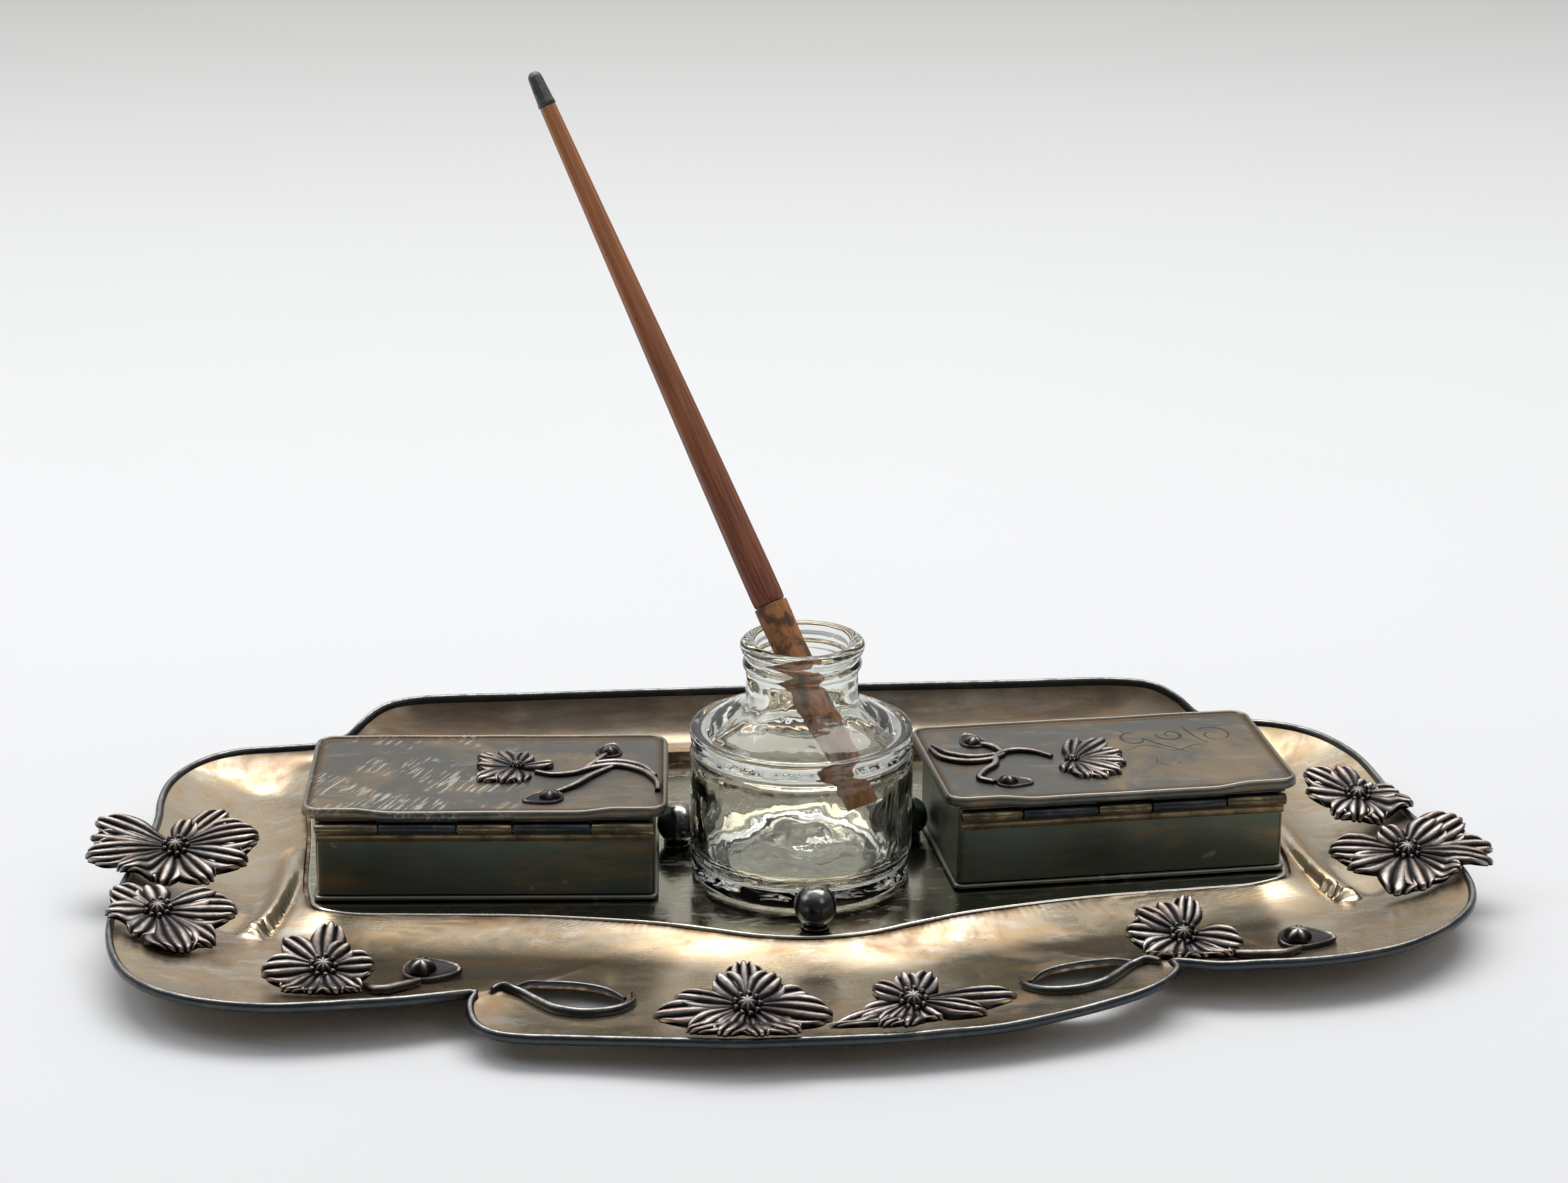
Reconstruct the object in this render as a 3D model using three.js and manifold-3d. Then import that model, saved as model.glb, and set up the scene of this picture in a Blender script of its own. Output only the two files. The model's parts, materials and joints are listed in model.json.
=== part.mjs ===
// Desk inkstand: a pressed, plated tray with a wired rim and cast flowers, carrying a glass
// ink bottle between three ball studs, a wooden pen holder, and two stamp boxes with hinged lids.
// Millimetres, +Z up. +X runs along the tray, the pen trough is at +Y, the lid hinges at -Y.
import * as THREE from 'three';
import { mergeVertices } from 'three/addons/utils/BufferGeometryUtils.js';
import Module from 'manifold-3d';

const wasm = await Module();
wasm.setup();

// ---- Driving dimensions -------------------------------------------------------------------
const GAP = 0.3;                 // clearance kept between pieces that touch
const WING_REACH = 44.4;         // end of the plate to the rim at either end
const TRAY_FRONT = 92;           // bottle axis to the front rim
const TRAY_BACK = 90.5;          // bottle axis to the back rail
const SHEET = 1.2;               // pressed sheet of the tray
const PLATE_TOP = 8;             // height of the flat plate above the table
const PLATE_THICK = 1.5;
const PLATE_BEYOND_BOX = 3;      // plate showing past the outer end of each box
const PLATE_NOSE = 0.4;          // plate showing in front of the front ball stud
const TROUGH_WIDTH = 20;         // back edge of the plate to the back rail
const CHANNEL_Z = 4.2;           // floor of the front channel and the wings
const TROUGH_Z = 8.6;            // floor of the pen trough
const TROUGH_LIP_Z = 10.3;       // step between the plate and the pen trough
const RAIL_Z = 20;               // top of the tall back rail
const FRONT_RIM_Z = 8;
const WING_RIM_Z = 10.4;
const SHOULDER_RIM_Z = 12;       // rim where the wings meet the back rail
const BEAD_RX = 0.9;             // rim bead, half width and half height
const BEAD_RZ = 1.2;
const BEAD_DROP = 0.5;           // bead centre below the rim height
const FOOT_RADIUS = 5.5;
const FOOT_X = 92;               // bottle axis to the feet, along the tray and across it
const FOOT_FRONT_Y = -40;
const FOOT_BACK_Y = 52;

const BOTTLE_RADIUS = 26;
const BOTTLE_SHOULDER_Z = 35.5;  // heights on the bottle are above the plate
const BOTTLE_LIP_Z = 56.4;
const LIP_RADIUS = 14.5;
const MOUTH_RADIUS = 10.7;
const BOTTLE_WALL = 3.6;
const WELL_FLOOR_Z = 5;
const STUD_RADIUS = 4.9;
const STUD_CLEARANCE = 2.3;      // ball stud to bottle wall
const STUD_TO_BOX = 1.02;        // ball stud to the inner end of the box beside it

const BOX_LENGTH = 78;
const BOX_DEPTH = 43;
const BOX_WALL = 1;
const BOX_HEIGHT = 21.8;         // top of the walls above the plate
const BOX_TO_BOTTLE = 7.6;       // inner end of each box to the bottle wall
const BOX_CENTRE_Y = 9.5;
const BOX_YAW = 4.1;             // degrees each box is turned, its outer end to the back
const FLOOR_THICK = 1;
const FLOOR_FLANGE = 0.8;        // floor plate proud of the walls all round
const LID_OVERHANG_X = 3;
const LID_OVERHANG_Y = 2.3;
const LID_SHEET = 0.8;
const LID_SKIRT = 2.6;
const LID_BORDER = 0.7;          // raised border above the lid panel
const LID_CORNER = 4.5;
const LID_ROUND = 1.5;           // rounding of the lid's upper edge
const RELIEF_REACH = 42;         // inner end of the lid to the middle of its relief drawing

const KNUCKLE_RADIUS = 1.4;
const PIN_RADIUS = 0.5;
const KNUCKLE_BORE = 0.85;
const KNUCKLE_GAP = 0.4;         // end play between neighbouring knuckles
const FIXED_END = 14.2;          // knuckle lengths along the hinge
const FIXED_MIDDLE = 12.4;
const HINGE_SHORT = 1;           // hinge shorter than the box
const LEAF_THICK = 0.6;
const KNUCKLE_TO_WALL = 0.1;     // knuckles to the front wall of the box
const HINGE_BELOW = 3.2;         // hinge axis below the top of the walls
const LEAF_DROP = 3.6;           // fixed leaf below the hinge axis

const PEN_LEAN = 34.3;           // degrees from upright
const PEN_TURN = 131.4;          // degrees from +X to the way that the pen leans
const PEN_RADIUS = 4.25;         // across the flats of the thick end
const PEN_TOP_RADIUS = 2.0;
const TENON_RADIUS = 4.0;
const PEN_ABOVE = 146.2;         // pen beyond the plane of the lip
const TENON_ABOVE = 9;           // bare wood showing above the lip
const CAP_LENGTH = 9;
const PEN_SIDES = 8;

const RIM_STEPS = 104;
const RAD = Math.PI / 180;

// ---- Finishes -----------------------------------------------------------------------------
const finish = (color, roughness, metalness) =>
  new THREE.MeshStandardMaterial({ color, roughness, metalness });
const PLATED = finish(0x9c8f78, 0.3, 1);
const MIRROR_PLATE = finish(0xb1ab98, 0.15, 1);
const DARK_PLATED = finish(0x4a4c48, 0.4, 1);
const CAST = finish(0x5d5a55, 0.45, 1);
const LID_PLATED = finish(0x6d6a62, 0.4, 1);
const BRASSY = finish(0x8f8765, 0.35, 1);
const GLASS = finish(0xc9d0c8, 0.05, 0);
const WOOD = finish(0x6b2f1c, 0.35, 0);
const BARE_WOOD = finish(0x9a5f2c, 0.6, 0);
const CAP_METAL = finish(0x55575a, 0.5, 1);

// ---- Mesh helpers -------------------------------------------------------------------------
function volumeOf(points, triangles) {
  let six = 0;
  const cross = new THREE.Vector3();
  for (const [a, b, c] of triangles) {
    six += points[a].dot(cross.crossVectors(points[b], points[c]));
  }
  return six / 6;
}

// A closed body from points and triangles, turned so that its faces point out.
function closedBody(points, triangles) {
  const outward = volumeOf(points, triangles) > 0;
  const geometry = new THREE.BufferGeometry();
  geometry.setAttribute('position', new THREE.Float32BufferAttribute(points.flatMap((p) => p.toArray()), 3));
  geometry.setIndex(triangles.flatMap(([a, b, c]) => (outward ? [a, b, c] : [a, c, b])));
  geometry.computeVertexNormals();
  return geometry;
}

function middleOf(ring) {
  const sum = new THREE.Vector3();
  ring.forEach((p) => sum.add(p));
  return sum.divideScalar(ring.length);
}

// Rings of equal count joined one to the next. Both ends are capped, or the last joins the first.
function ringBody(rings, looped = false) {
  const count = rings[0].length;
  const points = rings.flat();
  const triangles = [];
  const steps = looped ? rings.length : rings.length - 1;
  for (let r = 0; r < steps; r++) {
    const low = r * count;
    const high = ((r + 1) % rings.length) * count;
    for (let i = 0; i < count; i++) {
      const j = (i + 1) % count;
      triangles.push([low + i, low + j, high + j], [low + i, high + j, high + i]);
    }
  }
  if (!looped) {
    const first = points.length;
    points.push(middleOf(rings[0]), middleOf(rings[rings.length - 1]));
    const last = (rings.length - 1) * count;
    for (let i = 0; i < count; i++) {
      const j = (i + 1) % count;
      triangles.push([first, j, i], [first + 1, last + i, last + j]);
    }
  }
  return closedBody(points, triangles);
}

function toManifold(geometry) {
  const bare = geometry.clone();
  bare.deleteAttribute('normal');
  bare.deleteAttribute('uv');
  const merged = mergeVertices(bare, 1e-4);
  return new wasm.Manifold(new wasm.Mesh({
    numProp: 3,
    vertProperties: new Float32Array(merged.attributes.position.array),
    triVerts: new Uint32Array(merged.index.array),
  }));
}

function fromManifold(body) {
  const { vertProperties, triVerts } = body.getMesh();
  const geometry = new THREE.BufferGeometry();
  geometry.setAttribute('position', new THREE.BufferAttribute(new Float32Array(vertProperties), 3));
  geometry.setIndex(new THREE.BufferAttribute(new Uint32Array(triVerts), 1));
  geometry.computeVertexNormals();
  return geometry;
}

const join = (...parts) => fromManifold(parts.map(toManifold).reduce((a, b) => a.add(b)));
const cut = (body, ...tools) => fromManifold(tools.map(toManifold).reduce((a, b) => a.subtract(b), toManifold(body)));

function block(x0, x1, y0, y1, z0, z1) {
  return new THREE.BoxGeometry(x1 - x0, y1 - y0, z1 - z0)
    .translate((x0 + x1) / 2, (y0 + y1) / 2, (z0 + z1) / 2);
}

// A round bar along X, from x0 to x1, on the line y, z.
function bar(radius, x0, x1, y, z, sides = 16) {
  return new THREE.CylinderGeometry(radius, radius, x1 - x0, sides)
    .rotateZ(-Math.PI / 2)
    .translate((x0 + x1) / 2, y, z);
}

// A turned piece: profile of [radius, z], from the axis back to the axis.
function turned(profile, sides) {
  const lathe = new THREE.LatheGeometry(profile.map(([r, z]) => new THREE.Vector2(r, z)), sides);
  lathe.rotateX(Math.PI / 2);
  lathe.deleteAttribute('normal');
  lathe.deleteAttribute('uv');
  return fromManifold(toManifold(orient(mergeVertices(lathe, 1e-4))));
}

function orient(geometry) {
  const at = geometry.attributes.position;
  const points = Array.from({ length: at.count }, (_, i) => new THREE.Vector3().fromBufferAttribute(at, i));
  const index = geometry.index.array;
  const triangles = [];
  for (let i = 0; i < index.length; i += 3) {
    const [a, b, c] = [index[i], index[i + 1], index[i + 2]];
    if (a !== b && b !== c && c !== a) triangles.push([a, b, c]);
  }
  return closedBody(points, triangles);
}

const smooth = (from, to, value) => THREE.MathUtils.smoothstep(value, from, to);
const mix = THREE.MathUtils.lerp;

// ---- Outlines of the tray and the plate ---------------------------------------------------
const studReach = BOTTLE_RADIUS + STUD_CLEARANCE + STUD_RADIUS;
const boxCentreX = BOTTLE_RADIUS + BOX_TO_BOTTLE + BOX_LENGTH / 2;
const plateHalf = boxCentreX + BOX_LENGTH / 2 + PLATE_BEYOND_BOX;
const plateBack = TRAY_BACK - TROUGH_WIDTH;
const plateNose = studReach + STUD_RADIUS + PLATE_NOSE;

// Points of the tray are drawn at this reach, and scaled to the reach that is asked for.
const DRAWN_REACH = { end: 159, front: 92, back: 90.5 };
const trayHalf = plateHalf + WING_REACH;
const xShare = trayHalf / DRAWN_REACH.end;
const frontShare = TRAY_FRONT / DRAWN_REACH.front;
const backShare = TRAY_BACK / DRAWN_REACH.back;
const scaleReach = ([x, y, ...rest]) => [x * xShare, y * (y < 0 ? frontShare : backShare), ...rest];

// The rim from the middle of the front, round each end, to the middle of the back: distance
// out, y, and height. The two ends differ a little, because the blank is trimmed by hand.
const RIM_FRONT = [0, -91.9, FRONT_RIM_Z];
const RIM_BACK = [0, 90.2, RAIL_Z];
const RIM_RIGHT = [
  [12, -91.6, FRONT_RIM_Z], [23, -90.3, FRONT_RIM_Z], [34, -88.8, FRONT_RIM_Z], [46, -85.5, 8.4],
  [57.5, -81.5, 9], [67.5, -76.5, 9.4], [74, -71, 9.6], [77.3, -65.5, 9.8], [76.8, -62.3, 9.8],
  [80, -62.3, 9.6], [87, -64.9, 9.9], [96, -65.8, WING_RIM_Z], [105, -65.7, WING_RIM_Z],
  [116.5, -64.1, WING_RIM_Z], [129, -59.9, WING_RIM_Z], [137.2, -54.6, WING_RIM_Z],
  [144.8, -47.4, WING_RIM_Z], [150.6, -38.8, WING_RIM_Z], [153.8, -28, WING_RIM_Z],
  [154, -14, WING_RIM_Z], [152.2, 4, WING_RIM_Z], [149.5, 20, WING_RIM_Z], [147.9, 34, 11],
  [147, 43, 11.4], [145.4, 51, SHOULDER_RIM_Z], [142.6, 60, SHOULDER_RIM_Z],
  [139, 67, SHOULDER_RIM_Z], [134.5, 72, SHOULDER_RIM_Z], [127.5, 75.9, SHOULDER_RIM_Z],
  [117, 78.5, SHOULDER_RIM_Z], [110, 80.4, 13.5], [105.5, 83, 17], [100, 86, 19.4],
  [92, 88.4, RAIL_Z], [60, 89.2, RAIL_Z],
];
const RIM_LEFT = [
  [12, -91.9, FRONT_RIM_Z], [23, -91.7, FRONT_RIM_Z], [35, -90, FRONT_RIM_Z], [44, -88, 7.6],
  [53, -86, 7.2], [61, -84.4, 7], [69, -83.1, 7], [74, -81, 7], [77.6, -77.2, 7.2],
  [79.1, -72, 7.6], [79, -66.5, 8.2], [77.8, -63.8, 8.8], [81, -64.6, 9.2], [86, -66.1, 9.5],
  [94.3, -68.1, 9.8], [105, -69.7, 10.2], [114, -70.6, WING_RIM_Z], [122.5, -70.4, WING_RIM_Z],
  [131, -68.7, WING_RIM_Z], [140, -65, WING_RIM_Z], [148, -59.2, WING_RIM_Z],
  [153.8, -51.4, WING_RIM_Z], [157.3, -41.5, WING_RIM_Z], [159, -30, WING_RIM_Z],
  [159, -16, WING_RIM_Z], [157.4, 0, WING_RIM_Z], [154.6, 16, WING_RIM_Z],
  [152.2, 28, WING_RIM_Z + 0.4], [151.3, 38, 11], [151.2, 47, 11.4], [149.8, 56, SHOULDER_RIM_Z],
  [146.2, 65.5, SHOULDER_RIM_Z], [140.2, 73.2, SHOULDER_RIM_Z], [133, 77, SHOULDER_RIM_Z],
  [123, 78.4, SHOULDER_RIM_Z], [112, 79, 12.4], [106, 80.3, 14], [102, 82.7, 17],
  [97.5, 86, 19.2], [91, 88.6, RAIL_Z], [60, 89.8, RAIL_Z],
];
const PLATE_POINTS = [
  [0, -plateNose], [plateHalf * 0.11, 1.9 - plateNose], [plateHalf * 0.2, 6 - plateNose],
  [plateHalf * 0.3, 10.5 - plateNose], [plateHalf * 0.42, 14 - plateNose],
  [plateHalf * 0.58, 17.5 - plateNose], [plateHalf * 0.79, 20 - plateNose],
  [plateHalf * 0.92, 22 - plateNose], [plateHalf - 2, 26 - plateNose], [plateHalf, 34.5 - plateNose],
  [plateHalf, 30], [plateHalf, plateBack - 12], [plateHalf - 3, plateBack - 3],
  [plateHalf - 12, plateBack], [plateHalf * 0.42, plateBack], [0, plateBack],
];

// The whole closed curve from its front point, its two sides and its back point.
function closedCurve(front, right, back, left) {
  const mirrored = [...left].reverse().map(([x, ...rest]) => [-x, ...rest]);
  const points = [front, ...right, back, ...mirrored].map(([x, y, z = 0]) => new THREE.Vector3(x, y, z));
  return new THREE.CatmullRomCurve3(points, true, 'centripetal');
}

const rimCurve = closedCurve(...[[RIM_FRONT], RIM_RIGHT, [RIM_BACK], RIM_LEFT]
  .map((points, k) => (k % 2 ? points.map(scaleReach) : scaleReach(points[0]))));
const plateSide = PLATE_POINTS.slice(1, -1);
const plateCurve = closedCurve(PLATE_POINTS[0], plateSide, PLATE_POINTS.at(-1), plateSide);

const angleOf = (p) => Math.atan2(p.y, p.x);
const flatLength = (p) => Math.hypot(p.x, p.y);

// Distance from the bottle axis, and height, of a curve in any direction.
function polarTable(curve) {
  const rows = curve.getPoints(1440).slice(0, -1)
    .map((p) => ({ angle: angleOf(p), reach: flatLength(p), z: p.z }))
    .sort((a, b) => a.angle - b.angle);
  return (angle) => {
    let low = 0;
    let high = rows.length - 1;
    if (angle <= rows[0].angle || angle >= rows[high].angle) return rows[0];
    while (high - low > 1) {
      const half = (low + high) >> 1;
      if (rows[half].angle > angle) high = half;
      else low = half;
    }
    const a = rows[low];
    const b = rows[high];
    const t = (angle - a.angle) / (b.angle - a.angle || 1);
    return { reach: mix(a.reach, b.reach, t), z: mix(a.z, b.z, t) };
  };
}
const rimAt = polarTable(rimCurve);
const plateAt = polarTable(plateCurve);

const PLINTH_MARGIN = 0.8;       // tray flat beyond the edge of the plate
const CREASE_DROP = 0.3;         // crease round the plate below its top
const PLINTH_Z = PLATE_TOP - PLATE_THICK - GAP;
const plinthReach = (angle) => plateAt(angle).reach + PLINTH_MARGIN;

// Height of the tray between the plinth (share 0) and the rim (share 1), in one direction.
function trayProfile(angle, share) {
  const edge = plinthReach(angle);
  const behind = smooth(plateBack - 14, plateBack - 1, Math.sin(angle) * edge);
  const start = mix(PLATE_TOP - CREASE_DROP, TROUGH_LIP_Z, behind);
  const floor = mix(CHANNEL_Z, TROUGH_Z, behind);
  const rim = rimAt(angle).z;
  const fall = (start - floor) * Math.max(0, 1 - share / 0.36) ** 2;
  const rise = (rim - floor) * Math.max(0, (share - 0.22) / 0.78) ** 2.2;
  return share < 0.01 ? PLINTH_Z : floor + fall + rise;
}

function trayHeight(x, y) {
  const angle = Math.atan2(y, x);
  const inner = plinthReach(angle);
  const share = (Math.hypot(x, y) - inner) / (rimAt(angle).reach - inner);
  return share <= 0 ? PLATE_TOP : trayProfile(angle, Math.min(share, 1));
}

// Height on which a casting rests: the tray, then the top of the bead, then a droop outside it.
const BEAD_TOP = BEAD_RZ - BEAD_DROP;
const CAST_LIFT = 0.6;           // castings stand this much more off the curved sheet
function seatHeight(x, y) {
  const rim = rimAt(Math.atan2(y, x));
  const out = Math.hypot(x, y) - rim.reach;
  const onBead = smooth(-7, -3, out);
  const droop = 0.25 * Math.max(0, out - BEAD_RX - 1);
  return mix(trayHeight(x, y) + CAST_LIFT, rim.z + BEAD_TOP + GAP, onBead) - droop;
}

// ---- Tray, rim bead, plate, feet, studs ---------------------------------------------------
const rimPoints = rimCurve.getSpacedPoints(RIM_STEPS).slice(0, -1);

function outwardNormal(points, i) {
  const before = points[(i + points.length - 1) % points.length];
  const after = points[(i + 1) % points.length];
  return new THREE.Vector3(after.y - before.y, before.x - after.x, 0).normalize();
}

function beadBody(grow, sides) {
  const rings = rimPoints.map((p, i) => {
    const out = outwardNormal(rimPoints, i);
    return Array.from({ length: sides }, (_, k) => {
      const turn = (k / sides) * 2 * Math.PI;
      return p.clone()
        .addScaledVector(out, (BEAD_RX + grow) * Math.cos(turn))
        .add(new THREE.Vector3(0, 0, (BEAD_RZ + grow) * Math.sin(turn) - BEAD_DROP));
    });
  });
  return ringBody(rings, true);
}

const TRAY_SHARES = [0, 0.025, 0.13, 0.3, 0.54, 0.76, 0.9, 1];
function trayBody() {
  const ring = (share, drop) => rimPoints.map((p) => {
    const angle = angleOf(p);
    const reach = mix(plinthReach(angle), flatLength(p), share);
    return new THREE.Vector3(
      reach * Math.cos(angle), reach * Math.sin(angle), trayProfile(angle, share) - drop);
  });
  const upper = TRAY_SHARES.map((share) => ring(share, 0));
  const under = [...TRAY_SHARES].reverse().map((share) => ring(share, SHEET));
  return ringBody([...upper, ...under]);
}

// The slit between each whiplash tab and the channel: a long oval with one S-shaped side.
const SLIT_POINTS = [
  [45, -61.5], [49, -55.5], [57, -52.3], [65, -53.4], [69, -57], [65, -61.2], [60.5, -66.3],
  [55, -68.6], [49, -67.4],
];
const upright = (points, side, z) => points.map(([x, y]) =>
  new THREE.Vector3(side * x * xShare, y * frontShare, z));

function slitBody(side) {
  const curve = new THREE.CatmullRomCurve3(upright(SLIT_POINTS, side, 0), true, 'centripetal');
  const loop = curve.getSpacedPoints(18).slice(0, -1);
  const raised = (z) => loop.map((p) => new THREE.Vector3(p.x, p.y, z));
  return ringBody([raised(CHANNEL_Z - 6), raised(RAIL_Z)]);
}

const aroundBead = beadBody(GAP, 6);
const trayGeometry = cut(trayBody(), aroundBead, slitBody(1), slitBody(-1));

function plateLoop(inset, z) {
  const points = plateCurve.getSpacedPoints(64).slice(0, -1);
  return points.map((p, i) => p.clone().addScaledVector(outwardNormal(points, i), -inset).setZ(z));
}
const plateGeometry = ringBody([
  plateLoop(0.5, PLATE_TOP - PLATE_THICK), plateLoop(0, PLATE_TOP - PLATE_THICK + 0.5),
  plateLoop(0.1, PLATE_TOP - 0.5), plateLoop(0.6, PLATE_TOP),
]);

function footGeometry(x, y) {
  const around = Array.from({ length: 12 }, (_, k) => k * 30 * RAD);
  const under = around.map((a) => trayHeight(x + FOOT_RADIUS * Math.cos(a), y + FOOT_RADIUS * Math.sin(a)));
  const onPlinth = Math.abs(y) < plateBack - FOOT_RADIUS && trayHeight(x, y) === PLATE_TOP;
  const tray = onPlinth ? PLINTH_Z : Math.min(...under);
  const top = tray - SHEET - GAP;
  const profile = [[0, 0], [FOOT_RADIUS * 0.7, 0], [FOOT_RADIUS, top * 0.45], [FOOT_RADIUS * 0.8, top], [0, top]];
  return turned(profile, 16).translate(x, y, 0);
}

function studGeometry() {
  const profile = [[0, GAP], [3, GAP], [2.6, 0.9]];
  for (let a = -55; a < 90; a += 18) {
    profile.push([STUD_RADIUS * Math.cos(a * RAD), STUD_RADIUS * (1 + Math.sin(a * RAD)) + GAP]);
  }
  profile.push([0, 2 * STUD_RADIUS + GAP]);
  return turned(profile, 16);
}

// The curled bead that edges the outer side of each slit.
function scrollBody(side) {
  const [radius, sides] = [1.1, 6];
  const path = [[73, -60.6], [69.5, -60.4], [66.5, -63], [62, -68.2], [56, -71], [49, -70], [44.5, -66]];
  const curve = new THREE.CatmullRomCurve3(upright(path, side, 0), false, 'centripetal');
  const spine = curve.getSpacedPoints(14);
  const rings = spine.map((p, i) => {
    const along = spine[Math.min(i + 1, 14)].clone().sub(spine[Math.max(i - 1, 0)]).normalize();
    const out = new THREE.Vector3(along.y, -along.x, 0);
    const end = Math.min(i, 14 - i) === 0 ? 0.5 : 1;
    const z = trayHeight(p.x, p.y) + radius + GAP + 0.4;
    return Array.from({ length: sides }, (_, k) => {
      const turn = (k / sides) * 2 * Math.PI;
      return new THREE.Vector3(p.x, p.y, z)
        .addScaledVector(out, end * radius * Math.cos(turn))
        .add(new THREE.Vector3(0, 0, end * radius * Math.sin(turn)));
    });
  });
  return ringBody(rings);
}

// ---- Castings -----------------------------------------------------------------------------
// A flower or leaf: a lobed disc with a raised middle, its back lifted, sitting on a seat.
function blossom({ x, y, rx, ry = rx, lobes, depth = 0.22, edge, crown, lift = 0, seat }) {
  const steps = lobes * 3;
  const levels = [1, 0.78, 0.35];
  const at = (share, k) => {
    const turn = (k / steps) * 2 * Math.PI;
    const lobe = 1 - depth * (0.5 + 0.5 * Math.cos(lobes * turn));
    return new THREE.Vector2(x + rx * share * lobe * Math.cos(turn), y + ry * share * lobe * Math.sin(turn));
  };
  const heightOf = (share, k) => {
    const turn = (k / steps) * 2 * Math.PI;
    const back = 0.5 + 0.5 * share * Math.sin(turn);
    return edge + (crown - edge) * (1 - share) ** 0.8 + lift * back;
  };
  const ring = (share, top) => Array.from({ length: steps }, (_, k) => {
    const p = at(share, k);
    return new THREE.Vector3(p.x, p.y, seat(p.x, p.y) + GAP + (top ? heightOf(share, k) : 0));
  });
  const under = [0.5, 1].map((share) => ring(share, false));
  return ringBody([...under, ...levels.map((share) => ring(share, true))]);
}

// A stem: a rounded ribbon along points in the plane, sitting on the same seat.
function stem(points, width, height, seat) {
  const curve = new THREE.CatmullRomCurve3(points.map(([x, y]) => new THREE.Vector3(x, y, 0)));
  const count = Math.round(points.length * 1.5);
  const spine = curve.getSpacedPoints(count);
  const section = [[-1, 0], [-0.75, 0.8], [0, 1], [0.75, 0.8], [1, 0]];
  return ringBody(spine.map((p, i) => {
    const along = spine[Math.min(i + 1, count)].clone().sub(spine[Math.max(i - 1, 0)]).normalize();
    return section.map(([across, up]) => {
      const x = p.x + along.y * across * width / 2;
      const y = p.y - along.x * across * width / 2;
      return new THREE.Vector3(x, y, seat(x, y) + GAP + up * height);
    });
  }));
}

// Places on the tray: one moves with its reach, one keeps its distance from the end of the
// rim, and one keeps its distance from the front of the rim.
const onTray = (x, y) => ({ x: x * xShare, y: y * frontShare, seat: seatHeight });
const atEnd = (x, y) => ({
  x: x + Math.sign(x) * (trayHalf - DRAWN_REACH.end), y: y * frontShare, seat: seatHeight,
});
const atFront = (x, y) => ({
  x: x * xShare, y: y + DRAWN_REACH.front - TRAY_FRONT, seat: seatHeight,
});
const CASTINGS = {
  left_end_flower: () => blossom({ ...atEnd(-146, 15), rx: 20.5, ry: 15, lobes: 9, edge: 1.4, crown: 5, lift: 3 }),
  left_end_leaves: () => blossom({ ...atEnd(-146, -23), rx: 15.5, ry: 20, lobes: 7, edge: 1.2, crown: 4, lift: 1.5 }),
  right_end_flower: () => blossom({ ...atEnd(143.5, -11), rx: 20.5, ry: 16, lobes: 9, edge: 1.4, crown: 5, lift: 2 }),
  right_end_leaves: () => blossom({ ...atEnd(138, 24), rx: 13.5, ry: 16.5, lobes: 7, edge: 1.2, crown: 4, lift: 2 }),
  left_wing_spray: () => wingSpray(-111),
  right_wing_spray: () => wingSpray(84.5),
  front_daisy: () => blossom({ ...atFront(-20.6, -82), rx: 19, ry: 12.5, lobes: 11, edge: 1.4, crown: 4.5, lift: 4 }),
  front_small_flower: () => join(
    blossom({ ...atFront(14, -83), rx: 12, ry: 11, lobes: 7, edge: 1.4, crown: 4, lift: 3 }),
    blossom({ ...atFront(29, -80), rx: 9.5, ry: 5, lobes: 3, edge: 1.2, crown: 2.6, lift: 1 }),
  ),
};

// Flower, curved stem and bud: the same casting on both front wings.
function wingSpray(x) {
  const place = onTray(x, -49);
  const at = (dx, dy) => ({ ...place, x: place.x + dx, y: place.y + dy });
  const stalk = [[9, -4], [14, -6], [19, -2], [23, 2]].map(([dx, dy]) => [place.x + dx, place.y + dy]);
  return join(
    blossom({ ...at(0, 0), rx: 13, ry: 12, lobes: 7, edge: 1.4, crown: 4, lift: 6 }),
    stem(stalk, 2.6, 2.4, seatHeight),
    blossom({ ...at(24, 3), rx: 5.2, ry: 4.6, lobes: 4, depth: 0.1, edge: 1.2, crown: 4 }),
  );
}

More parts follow.
